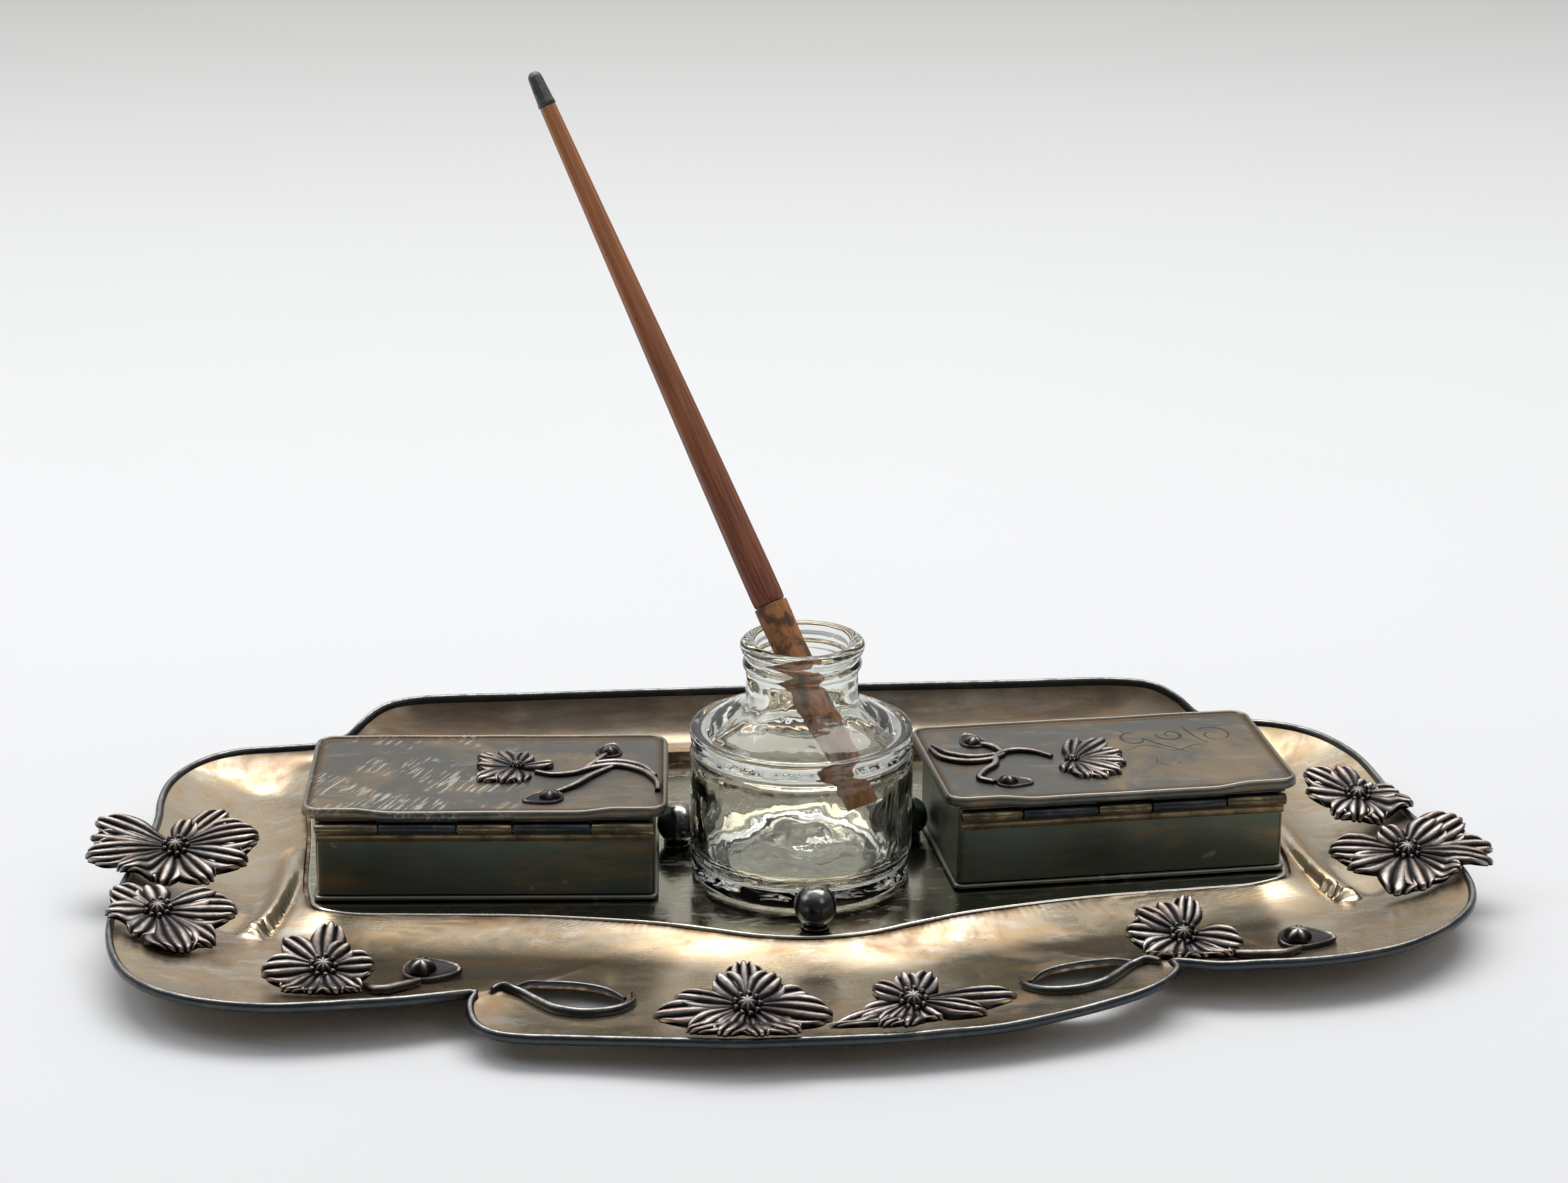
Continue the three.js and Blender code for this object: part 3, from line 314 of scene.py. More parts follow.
def ring_shell(rings, looped=False, wear_and_light=None):
    """Rings of equal count joined one to the next, with both ends closed unless looped."""
    rings = np.asarray(rings, float)
    rows, count = rings.shape[:2]
    points = rings.reshape(-1, 3)
    faces = []
    for r in range(rows if looped else rows - 1):
        low, high = r * count, ((r + 1) % rows) * count
        for i in range(count):
            j = (i + 1) % count
            faces.append((low + i, low + j, high + j, high + i))
    worn_and_lit = None if wear_and_light is None else np.asarray(wear_and_light, float).reshape(-1)
    if not looped:
        hub, last = len(points), (rows - 1) * count
        points = np.vstack([points, rings[0].mean(axis=0), rings[-1].mean(axis=0)])
        for i in range(count):
            j = (i + 1) % count
            faces.append((hub, j, i))
            faces.append((hub + 1, last + i, last + j))
        if worn_and_lit is not None:
            worn_and_lit = np.concatenate([worn_and_lit, [worn_and_lit[0], worn_and_lit[-1]]])
    return Shell(points, faces, worn_and_lit).outward()


def turned_shell(profile, sides, at=(0, 0, 0), wear_and_light=None):
    """A turned piece from a profile of (radius, height), open to the axis at both ends."""
    turn = np.arange(sides) / sides * 2 * np.pi
    rings = [[(r * math.cos(a), r * math.sin(a), z) for a in turn] for r, z in profile]
    worn_and_lit = None if wear_and_light is None else np.repeat(np.asarray(wear_and_light, float), sides)
    return ring_shell(np.array(rings) + np.array(at, float), wear_and_light=worn_and_lit)


def mesh_piece(name, shells, material, sharp=38.0):
    """One object from shells in millimetres off the bottle's axis."""
    points, faces, wear_and_light, start = [], [], [], 0
    for shell in shells:
        points.append(shell.points)
        wear_and_light.append(shell.wear_and_light)
        faces += [tuple(start + i for i in face) for face in shell.faces]
        start += len(shell.points)
    mesh = bpy.data.meshes.new(name)
    mesh.from_pydata(place(np.vstack(points)).tolist(), [], faces)
    mesh.attributes.new("wear_and_light", "FLOAT", "POINT").data.foreach_set("value", np.concatenate(wear_and_light))
    mesh.materials.append(material)
    mesh.shade_smooth()
    mesh.set_sharp_from_angle(angle=math.radians(sharp))
    return link(bpy.data.objects.new(name, mesh))


def link(thing):
    bpy.context.scene.collection.objects.link(thing)
    return thing


def hand_over(piece, body, slot, *nodes):
    """The finished piece moves with a body, takes a slot's finish and stands for its nodes."""
    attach(piece, body)
    if nodes:
        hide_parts(*nodes)
    return piece


# ---- Geometry Nodes -------------------------------------------------------------------------
def new_tree(name, inputs):
    tree = bpy.data.node_groups.new(name, "GeometryNodeTree")
    tree.interface.new_socket("Geometry", in_out="INPUT", socket_type="NodeSocketGeometry")
    for label, kind in inputs:
        tree.interface.new_socket(label, in_out="INPUT", socket_type=f"NodeSocket{kind}")
    tree.interface.new_socket("Geometry", in_out="OUTPUT", socket_type="NodeSocketGeometry")
    return tree


def add_node(tree, kind, settings=(), **values):
    """A node with its settings first, then its inputs by name, as values or links."""
    made = tree.nodes.new(kind)
    for key, value in dict(settings).items():
        setattr(made, key, value)
    for key, value in values.items():
        socket = made.inputs[key.replace("_", " ")]
        if isinstance(value, bpy.types.NodeSocket):
            tree.links.new(value, socket)
        else:
            socket.default_value = value
    return made


def bead_tree():
    """Sweeps an oval along the input's lines. Each point's thickness scales the oval there."""
    tree = new_tree("Bead Along Lines", (("Width", "Float"), ("Height", "Float"),
                                         ("Sides", "Int"), ("Finish", "Material")))
    given = tree.nodes.new("NodeGroupInput").outputs
    line = add_node(tree, "GeometryNodeMeshToCurve", Mesh=given["Geometry"])
    level = add_node(tree, "GeometryNodeSetCurveNormal", {"mode": "Z_UP"}, Curve=line.outputs[0])
    circle = add_node(tree, "GeometryNodeCurvePrimitiveCircle", Resolution=given["Sides"], Radius=1.0)
    oval = tree.nodes.new("ShaderNodeCombineXYZ")
    tree.links.new(given["Width"], oval.inputs["X"])
    tree.links.new(given["Height"], oval.inputs["Y"])
    oval.inputs["Z"].default_value = 1.0
    shaped = add_node(tree, "GeometryNodeTransform", Geometry=circle.outputs[0], Scale=oval.outputs[0])
    thick = add_node(tree, "GeometryNodeInputNamedAttribute", {"data_type": "FLOAT"}, Name="thickness")
    swept = add_node(tree, "GeometryNodeCurveToMesh", Curve=level.outputs[0],
                     Profile_Curve=shaped.outputs[0], Scale=thick.outputs[0], Fill_Caps=True)
    plain = add_node(tree, "GeometryNodeRealizeInstances", Geometry=swept.outputs[0])
    painted = add_node(tree, "GeometryNodeSetMaterial", Geometry=plain.outputs[0], Material=given["Finish"])
    tree.links.new(painted.outputs[0], tree.nodes.new("NodeGroupOutput").inputs[0])
    return tree


def repeat_tree():
    """Stands one copy of a pattern object on every point of the input."""
    tree = new_tree("Copies On Points", (("Pattern", "Object"), ("Finish", "Material")))
    given = tree.nodes.new("NodeGroupInput").outputs
    pattern = add_node(tree, "GeometryNodeObjectInfo", Object=given["Pattern"])
    turn = add_node(tree, "GeometryNodeInputNamedAttribute", {"data_type": "FLOAT_VECTOR"}, Name="turn")
    euler = add_node(tree, "FunctionNodeEulerToRotation", Euler=turn.outputs[0])
    copies = add_node(tree, "GeometryNodeInstanceOnPoints", Points=given["Geometry"],
                      Instance=pattern.outputs["Geometry"], Rotation=euler.outputs[0])
    plain = add_node(tree, "GeometryNodeRealizeInstances", Geometry=copies.outputs[0])
    painted = add_node(tree, "GeometryNodeSetMaterial", Geometry=plain.outputs[0], Material=given["Finish"])
    tree.links.new(painted.outputs[0], tree.nodes.new("NodeGroupOutput").inputs[0])
    return tree


def run_tree(name, tree, mesh, values, sharp=40.0):
    """The tree's result on a mesh, as a plain mesh object with no modifier."""
    holder = link(bpy.data.objects.new(name, mesh))
    modifier = holder.modifiers.new("shape", "NODES")
    modifier.node_group = tree
    names = {item.name: item.identifier for item in tree.interface.items_tree if item.in_out == "INPUT"}
    for label, value in values.items():
        modifier[names[label]] = value
    graph = bpy.context.evaluated_depsgraph_get()
    graph.update()
    result = bpy.data.meshes.new_from_object(holder.evaluated_get(graph), depsgraph=graph)
    holder.modifiers.clear()
    bpy.data.objects.remove(holder)
    work = bmesh.new()
    work.from_mesh(result)
    bmesh.ops.recalc_face_normals(work, faces=work.faces)
    work.to_mesh(result)
    work.free()
    result.name = name
    result.shade_smooth()
    result.set_sharp_from_angle(angle=math.radians(sharp))
    return link(bpy.data.objects.new(name, result))


def line_mesh(paths):
    """Edges along paths of (x, y, z, thickness) in millimetres. A closed path says so."""
    mesh = bpy.data.meshes.new("lines")
    points, edges, thick, start = [], [], [], 0
    for path, closed in paths:
        path = np.asarray(path, float)
        points.append(path[:, :3])
        thick.append(path[:, 3])
        edges += [(start + i, start + i + 1) for i in range(len(path) - 1)]
        if closed:
            edges.append((start + len(path) - 1, start))
        start += len(path)
    mesh.from_pydata(place(np.vstack(points)).tolist(), edges, [])
    mesh.attributes.new("thickness", "FLOAT", "POINT").data.foreach_set("value", np.concatenate(thick))
    return mesh


def bead_piece(name, paths, width, height, sides, finish):
    values = {"Width": width * MM, "Height": height * MM, "Sides": sides, "Finish": finish}
    piece = run_tree(name, TREES["bead"], line_mesh(paths), values)
    mesh = piece.data
    # Upward-facing points are marked bright, so the finishes paint a highlight along the tops of the rim
    # wire, slit beads, hinge pins and relief stems.
    normals = np.zeros(len(mesh.vertices) * 3)
    mesh.vertex_normals.foreach_get("vector", normals)
    facing_up = np.clip(normals.reshape(-1, 3)[:, 2], 0, 1)
    mesh.attributes.new("wear_and_light", "FLOAT", "POINT").data.foreach_set("value", 0.1 + 0.8 * facing_up**2)
    return piece


def repeated_piece(name, shells, spots, finish, turns=None):
    """Copies of a pattern, made round its own origin, at spots in millimetres."""
    pattern = mesh_piece(name + "_pattern", shells, finish)
    for vertex in pattern.data.vertices:
        vertex.co -= Vector((AXIS.x, AXIS.y, 0))
    mesh = bpy.data.meshes.new("spots")
    mesh.from_pydata(place(spots).tolist(), [], [])
    angles = np.zeros((len(spots), 3)) if turns is None else np.asarray(turns, float)
    mesh.attributes.new("turn", "FLOAT_VECTOR", "POINT").data.foreach_set("vector", angles.ravel())
    piece = run_tree(name, TREES["repeat"], mesh, {"Pattern": pattern, "Finish": finish})
    bpy.data.objects.remove(pattern)
    return piece


TREES = {}


# ---- Shader maths ---------------------------------------------------------------------------
class Socket:
    """A shader socket that takes part in Python expressions."""

    def __init__(self, finish, socket):
        self.finish, self.socket = finish, socket

    def math(self, operation, other, swapped=False):
        values = [self, other]
        if swapped:
            values.reverse()
        made = self.finish.node("ShaderNodeMath", {"operation": operation})
        for socket, value in zip(made.inputs, values):
            self.finish.feed(socket, value)
        return Socket(self.finish, made.outputs[0])

    def __add__(self, other):
        return self.math("ADD", other)

    def __sub__(self, other):
        return self.math("SUBTRACT", other)

    def __mul__(self, other):
        return self.math("MULTIPLY", other)

    def __rsub__(self, other):
        return self.math("SUBTRACT", other, swapped=True)

    __radd__ = __add__
    __rmul__ = __mul__


class Finish:
    """One material, its shader and the nodes behind it."""

    def __init__(self, name):
        self.material = bpy.data.materials.new(name)
        self.material.use_nodes = True
        self.tree = self.material.node_tree
        self.shader = self.tree.nodes["Principled BSDF"]

    def feed(self, socket, value):
        if isinstance(value, Socket):
            self.tree.links.new(value.socket, socket)
        elif isinstance(value, bpy.types.NodeSocket):
            self.tree.links.new(value, socket)
        elif socket.type == "RGBA":
            socket.default_value = (*value, 1.0) if len(value) == 3 else value
        else:
            socket.default_value = value

    def node(self, kind, settings=(), **values):
        made = self.tree.nodes.new(kind)
        for key, value in dict(settings).items():
            setattr(made, key, value)
        for key, value in values.items():
            self.feed(made.inputs[key.replace("_", " ")], value)
        return made

    def out(self, kind, output, settings=(), **values):
        return Socket(self, self.node(kind, settings, **values).outputs[output])

    def coords(self, scale=(1, 1, 1), turn=(0, 0, 0), shift=(0, 0, 0)):
        """Object coordinates in millimetres off the bottle's axis, shifted, turned, then scaled."""
        source = self.node("ShaderNodeTexCoord").outputs["Object"]
        centred = self.node("ShaderNodeMapping", {"vector_type": "POINT"}, Vector=source,
                            Location=(-AXIS.x + shift[0] * MM, -AXIS.y + shift[1] * MM, shift[2] * MM))
        turned = self.node("ShaderNodeMapping", {"vector_type": "POINT"}, Vector=centred.outputs[0],
                           Rotation=turn)
        sized = self.node("ShaderNodeMapping", {"vector_type": "POINT"}, Vector=turned.outputs[0],
                          Scale=[s / MM for s in scale])
        return sized.outputs[0]

    def noise(self, size, detail=3.0, rough=0.55, stretch=(1, 1, 1), warp=0.0, seed=0.0):
        """Noise from 0 to 1 whose blotches are about size millimetres across."""
        where = self.coords([s / size for s in stretch], shift=(seed, seed * 0.7, 0))
        return self.out("ShaderNodeTexNoise", "Fac", {"noise_dimensions": "3D"}, Vector=where,
                        Scale=1.0, Detail=detail, Roughness=rough, Distortion=warp)

    def step(self, value, low, high):
        """0 below low, 1 above high, and smooth between."""
        return self.out("ShaderNodeMapRange", "Result", {"interpolation_type": "SMOOTHSTEP"},
                        Value=value, From_Min=low, From_Max=high, To_Min=0.0, To_Max=1.0)

    def blend(self, first, second, factor):
        made = self.node("ShaderNodeMix", {"data_type": "RGBA"})
        self.feed(made.inputs[0], factor)
        self.feed(made.inputs[6], first)
        self.feed(made.inputs[7], second)
        return Socket(self, made.outputs[2])

    def attribute(self, name):
        return self.out("ShaderNodeAttribute", "Fac", {"attribute_name": name})

    def bump(self, height, depth, strength=1.0):
        made = self.node("ShaderNodeBump", {}, Height=height, Strength=strength, Distance=depth * MM)
        self.feed(self.shader.inputs["Normal"], made.outputs[0])

    def set(self, **values):
        for key, value in values.items():
            self.feed(self.shader.inputs[key.replace("_", " ")], value)
        return self


def colours():
    return bpy.context.scene.inkstand_colours


def sizes():
    return bpy.context.scene.inkstand_sizes


def tarnish(finish, clean, brown, dark, brown_share, dark_share, size, seed=0.0):
    """Clean plate, brown where it is thin and dark where it is tarnished, in drifting patches."""
    slow = finish.noise(size, 4, 0.6, warp=0.6, seed=seed)
    fine = finish.noise(size / 6, 4, 0.65, seed=seed + 31)
    patch = slow * 0.72 + fine * 0.28
    browned = finish.step(patch, 0.62 - brown_share * 0.3, 0.74 - brown_share * 0.3)
    second = finish.noise(size * 0.8, 5, 0.62, warp=1.0, seed=seed + 77)
    darkened = finish.step(second, 0.68 - dark_share * 0.35, 0.82 - dark_share * 0.35)
    colour = finish.blend(clean, brown, browned * 0.75)
    return finish.blend(colour, dark, darkened * 0.85), darkened


def tray_finish():
    f = Finish("worn_plate")
    c = colours()
    worn_and_lit = f.attribute("wear_and_light")
    streak = f.noise(6, 6, 0.68, stretch=(0.22, 1, 1), seed=3)
    golden = f.blend(c.silver, c.gilt, f.step(streak, 0.42, 0.62) * 0.7)
    flecks = f.step(f.noise(4.5, 6, 0.72, stretch=(0.35, 1, 1), seed=51), 0.52, 0.6)
    pale = f.blend(golden, c.pale_silver, flecks * f.step(f.noise(26, 3, seed=8), 0.42, 0.6) * 0.65)
    stain = f.step(f.noise(24, 5, 0.6, warp=0.5, seed=14), 0.5, 0.72)
    stained = f.blend(pale, c.thin_brown, stain * 0.75)
    depth = f.out("ShaderNodeSeparateXYZ", "Y", Vector=f.coords())
    # Brown streaks and, higher up, a dark brown band on the back rail's inner face: painted dark reflection,
    # partly stain.
    rail = f.step(depth, 74, 86) * f.step(f.noise(7, 5, 0.7, stretch=(0.18, 1, 1), seed=90), 0.34, 0.6)
    stained = f.blend(stained, c.thin_brown, rail * 0.8)
    along = f.step(f.noise(9, 4, 0.6, stretch=(0.2, 1, 1), seed=91), 0.4, 0.6)
    upper = f.step(depth, 76, 86) * (0.5 + 0.5 * along)
    stained = f.blend(stained, c.tarnish_brown, upper * 0.85)
    spot = f.step(f.noise(3.2, 4, 0.7, seed=29), 0.6, 0.72) * f.step(f.noise(30, 2, seed=5), 0.45, 0.65)
    spotted = f.blend(stained, c.tarnish_brown, spot * 0.6)
    # Darker in the crease beside the plate and towards the rim: dirt in the crease and painted shade along
    # the rim.
    grime_and_shade = f.step(1 - worn_and_lit, 0.5, 0.95) * f.step(f.noise(5, 4, 0.7), 0.2, 0.6)
    rough = 0.2 + 0.14 * streak + 0.2 * stain + 0.25 * grime_and_shade
    f.bump(f.noise(34, 2, 0.4) * 1.1 + f.noise(11, 2, 0.5) * 0.12 + streak * 0.015, 1.0)
    return f.set(Base_Color=f.blend(spotted, c.dirt_and_shade, grime_and_shade * 0.9), Metallic=1.0, Roughness=rough).material


def mirror_finish():
    f = Finish("mirror_plate")
    c = colours()
    colour, dark = tarnish(f, c.mirror, c.thin_brown, c.tarnish, 0.3, 0.2, 18, seed=12)
    scuff = f.step(f.noise(3, 5, 0.7, stretch=(0.4, 1, 1), seed=61), 0.54, 0.62)
    scuffed = f.blend(colour, c.pale_silver, scuff * 0.45)
    # The upper side of the rounded edge is lightened: a painted highlight.
    edged = f.blend(scuffed, c.bright_edge, f.step(f.attribute("wear_and_light"), 0.75, 1.0) * 0.7)
    rough = 0.1 + 0.1 * f.noise(20, 3) + 0.25 * dark + 0.12 * scuff
    f.bump(f.noise(44, 2, 0.4) * 0.7 + scuff * 0.01, 1.0)
    return f.set(Base_Color=edged, Metallic=1.0, Roughness=rough).material


def dark_finish(name, base, seed, size=9.0, shine=0.75, rough=0.26):
    """Blackened plate with a few rubbed bright spots."""
    f = Finish(name)
    c = colours()
    worn_and_lit = f.attribute("wear_and_light")
    spots = f.step(f.noise(size, 4, 0.65, seed=seed), 0.5, 0.72)
    # Bright spots: a painted highlight on the upward-facing tops of beads and studs, plus rubbing set by
    # noise.
    lightened = f.step(worn_and_lit + 0.7 * f.noise(4, 4, 0.65, seed=seed), 0.85, 1.3)
    colour = f.blend(f.blend(base, c.tarnish_brown, spots * 0.6), c.bright_edge, lightened * shine)
    dull = rough + 0.2 * f.noise(size * 0.7, 3, seed=seed) - 0.1 * lightened
    f.bump(f.noise(2.2, 4, 0.6, seed=seed), 0.12)
    return f.set(Base_Color=colour, Metallic=1.0, Roughness=dull).material


def box_finish():
    f = Finish("box_plate")
    c = colours()
    streak = f.noise(5, 4, 0.6, stretch=(0.16, 0.16, 1), warp=0.4, seed=2)
    patch = f.noise(12, 4, 0.62, stretch=(0.6, 0.6, 1.2), seed=5)
    base = f.blend(c.box_green, c.box_brown, f.step(streak, 0.45, 0.68) * f.step(patch, 0.3, 0.65))
    warm = f.blend(base, c.thin_brown, f.step(f.noise(5, 4, 0.65, seed=33), 0.6, 0.75) * 0.5)
    pale = f.blend(warm, c.pale_silver, f.step(f.noise(5, 2, 0.5, seed=21), 0.7, 0.73) * 0.35)
    edge = f.step(f.attribute("wear_and_light"), 0.72, 1.0)
    rough = 0.3 + 0.2 * f.noise(11, 3, seed=8)
    f.bump(f.noise(22, 2) * 0.7 + f.noise(4, 3) * 0.04, 1.0)
    return f.set(Base_Color=f.blend(pale, c.lid_edge, edge * 0.8), Metallic=1.0, Roughness=rough).material


def hatching(f):
    """Short slanting strokes of wear in a few patches, 0 to 1."""
    where = f.coords((1 / 9, 1 / 1.0, 1), turn=(0, 0, -1.05), shift=(4, 9, 0))
    strokes = f.out("ShaderNodeTexNoise", "Fac", Vector=where, Scale=1.0, Detail=2.5, Roughness=0.6)
    return f.step(strokes, 0.51, 0.57) * f.step(f.noise(15, 3, 0.55, seed=66), 0.48, 0.58)


def lid_finish():
    f = Finish("lid_plate")
    c = colours()
    worn_and_lit = f.attribute("wear_and_light")
    bare = f.step(f.noise(22, 5, 0.62, warp=0.8, seed=2), 0.44, 0.66)
    base = f.blend(c.lid_grey, c.lid_gold, bare * 0.8)
    flecks = f.step(f.noise(5, 5, 0.7, stretch=(0.3, 1, 1), seed=19), 0.55, 0.66)
    lightened = f.blend(base, c.lid_edge, flecks * 0.5)
    across = f.out("ShaderNodeSeparateXYZ", "X", Vector=f.coords())
    strokes = hatching(f) * (1 - f.step(across, -78, -58))
    pale = f.blend(lightened, c.pale_silver, strokes * 0.42)
    # Darker in the groove inside the border and underneath: dirt and painted shade.
    grime_and_shade = f.step(1 - worn_and_lit, 0.6, 0.95)
    # Lighter on the raised border: rubbed plate and a painted highlight.
    edge = f.step(worn_and_lit + 0.25 * f.noise(3, 3), 0.85, 1.15)
    colour = f.blend(f.blend(pale, c.dirt_and_shade, grime_and_shade * 0.85), c.lid_edge, edge * 0.9)
    rough = 0.28 + 0.2 * f.noise(9, 3) + 0.12 * grime_and_shade + 0.08 * strokes
    f.bump(f.noise(28, 2) * 0.8 + f.noise(3, 4, 0.6) * 0.05 + strokes * 0.03, 1.0)
    return f.set(Base_Color=colour, Metallic=1.0, Roughness=rough).material


def cast_finish():
    f = Finish("cast_ornament")
    c = colours()
    worn_and_lit = f.attribute("wear_and_light")
    grain = f.noise(1.3, 4, 0.65)
    slow = f.noise(8, 3, 0.6, seed=70)
    # Lighter on flute ridges, tips and the tops of domes, buds and stems: rubbed metal and a painted
    # highlight.
    high = f.step(worn_and_lit + 0.35 * (grain - 0.5) + 0.6 * (slow - 0.5), 0.3, 1.0)
    warm = f.blend(c.cast_bright, c.cast_rose, f.step(f.noise(7, 3), 0.4, 0.65))
    colour = f.blend(c.cast_dark, warm, high)
    f.bump(grain, 0.14)
    return f.set(Base_Color=colour, Metallic=1.0, Roughness=0.42 - 0.16 * high + 0.1 * grain).material


def brass_finish():
    f = Finish("hinge_brass")
    c = colours()
    patch = f.step(f.noise(6, 4, 0.6), 0.42, 0.66)
    colour = f.blend(c.hinge_brass, c.tarnish, patch * 0.75)
    f.bump(f.noise(1.2, 3), 0.05)
    return f.set(Base_Color=colour, Metallic=1.0, Roughness=0.28 + 0.2 * patch).material


def glass_finish():
    f = Finish("bottle_glass")
    c = colours()
    ripple = f.noise(9, 2, 0.45, stretch=(1, 1, 0.55), warp=0.8) + 0.06 * f.noise(2.6, 2, 0.5)
    f.bump(ripple, 0.35)
    return f.set(Base_Color=c.glass, Metallic=0.0, Roughness=0.015, IOR=1.52,
                 Transmission_Weight=1.0, Specular_Tint=(1, 1, 1)).material


def wood_finish():
    f = Finish("pen_wood")
    c = colours()
    where = f.node("ShaderNodeMapping", {"vector_type": "POINT"}, Vector=f.out(
        "ShaderNodeAttribute", "Vector", {"attribute_name": "along"}), Scale=(1.0, 1.0, 0.045))
    grain = f.out("ShaderNodeTexNoise", "Fac", Vector=where.outputs[0], Scale=1.7, Detail=5.0,
                  Roughness=0.6, Distortion=0.4)
    fibre = f.out("ShaderNodeTexNoise", "Fac", Vector=where.outputs[0], Scale=6.0, Detail=3.0)
    worn_and_lit = f.attribute("wear_and_light")
    lightened = f.step(worn_and_lit + 0.5 * (grain - 0.5), 0.5, 1.0)
    stain = f.blend(c.wood_dark, c.wood_red, f.step(grain, 0.35, 0.65))
    # Lighter towards the top of the pen.
    high = f.step(f.out("ShaderNodeSeparateXYZ", "Z", Vector=f.coords()), 70, 175)
    lighter_top = f.blend(stain, c.wood_light, high * (0.3 + 0.3 * grain))
    colour = f.blend(lighter_top, c.wood_light, lightened * 0.8)
    dots = f.step(f.noise(1.5, 2, 0.5, seed=3), 0.72, 0.76)
    f.bump(fibre * 0.6 + grain * 0.4, 0.1)
    return f.set(Base_Color=f.blend(colour, c.ink, dots * 0.7), Metallic=0.0,
                 Roughness=0.42 + 0.16 * grain, Coat_Weight=0.06 + 0.12 * grain,
                 Specular_IOR_Level=0.35).set(Coat_Roughness=0.25).material


def bare_wood_finish():
    f = Finish("bare_wood")
    c = colours()
    where = f.node("ShaderNodeMapping", {"vector_type": "POINT"}, Vector=f.out(
        "ShaderNodeAttribute", "Vector", {"attribute_name": "along"}), Scale=(1.0, 1.0, 0.09))
    grain = f.out("ShaderNodeTexNoise", "Fac", Vector=where.outputs[0], Scale=2.4, Detail=5.0,
                  Roughness=0.65)
    stain = f.step(f.noise(4.5, 4, 0.6, seed=7), 0.47, 0.62)
    colour = f.blend(c.bare_wood, c.wood_light, f.step(grain, 0.35, 0.65))
    f.bump(grain, 0.16)
    return f.set(Base_Color=f.blend(colour, c.ink, stain * 0.75), Metallic=0.0,
                 Roughness=0.55 + 0.15 * grain).material


def cap_finish():
    f = Finish("pen_cap")
    c = colours()
    patch = f.step(f.noise(2.6, 4, 0.6), 0.4, 0.65)
    f.bump(f.noise(1.1, 3), 0.08)
    return f.set(Base_Color=f.blend(c.cap_metal, c.tarnish, patch * 0.6), Metallic=1.0,
                 Roughness=0.42 + 0.2 * patch).material


def engraving_finish():
    f = Finish("engraving")
    f.bump(f.noise(1.5, 3), 0.03)
    colour = f.blend(colours().engraved, colours().tarnish, f.step(f.noise(4), 0.4, 0.6))
    return f.set(Base_Color=colour, Metallic=0.8, Roughness=0.5 + 0.1 * f.noise(2)).material


def floor_finish():
    f = Finish("studio_floor")
    cloudy = f.noise(140, 3)
    # Darker and greener far behind: painted shade where the light falls away.
    far = f.step(f.out("ShaderNodeSeparateXYZ", "Y", Vector=f.coords()), 150, 1900)
    near = f.blend(colours().floor, [0.97 * v for v in colours().floor], cloudy)
    colour = f.blend(near, colours().floor_far, far)
    return f.set(Base_Color=colour, Roughness=0.85, Specular_IOR_Level=0.15).material


FINISHES = {}


def finish(name):
    """Each finish is made once, the first time that a piece asks for it."""
    makers = {
        "tray": tray_finish, "mirror": mirror_finish, "box": box_finish, "lid": lid_finish,
        "cast": cast_finish, "brass": brass_finish, "glass": glass_finish, "wood": wood_finish,
        "bare_wood": bare_wood_finish, "cap": cap_finish, "engraving": engraving_finish,
        "floor": floor_finish,
        "rim": lambda: dark_finish("rim_plate", colours().rim_dark, 4, shine=0.4),
        "stud": lambda: dark_finish("stud_plate", colours().stud_dark, 40, 3.0, rough=0.1),
    }
    if name not in FINISHES:
        FINISHES[name] = makers[name]()
    return FINISHES[name]


# ---- Tray, rim, slits, plate ----------------------------------------------------------------
SLIT = ((45, -61.5), (49, -55.5), (57, -52.3), (65, -53.4), (69, -57), (65, -61.2), (60.5, -66.3),
        (55, -68.6), (49, -67.4))
SLIT_BEAD = ((74.2, -61.5), (71.5, -58.6), (68, -59.6), (64.5, -63.5), (60.5, -68), (54.5, -70.6),
             (48, -69.3), (43.6, -64.8), (43.2, -60))


def slit_cutter(side):
    loop = respaced(smooth_curve([(side * x, y, 0) for x, y in SLIT], closed=True), 72, closed=True)
    rings = [loop + np.array([0, 0, z]) for z in (-4.0, 24.0)]
    return mesh_piece("slit_cutter", [ring_shell(rings)], finish("tray"))


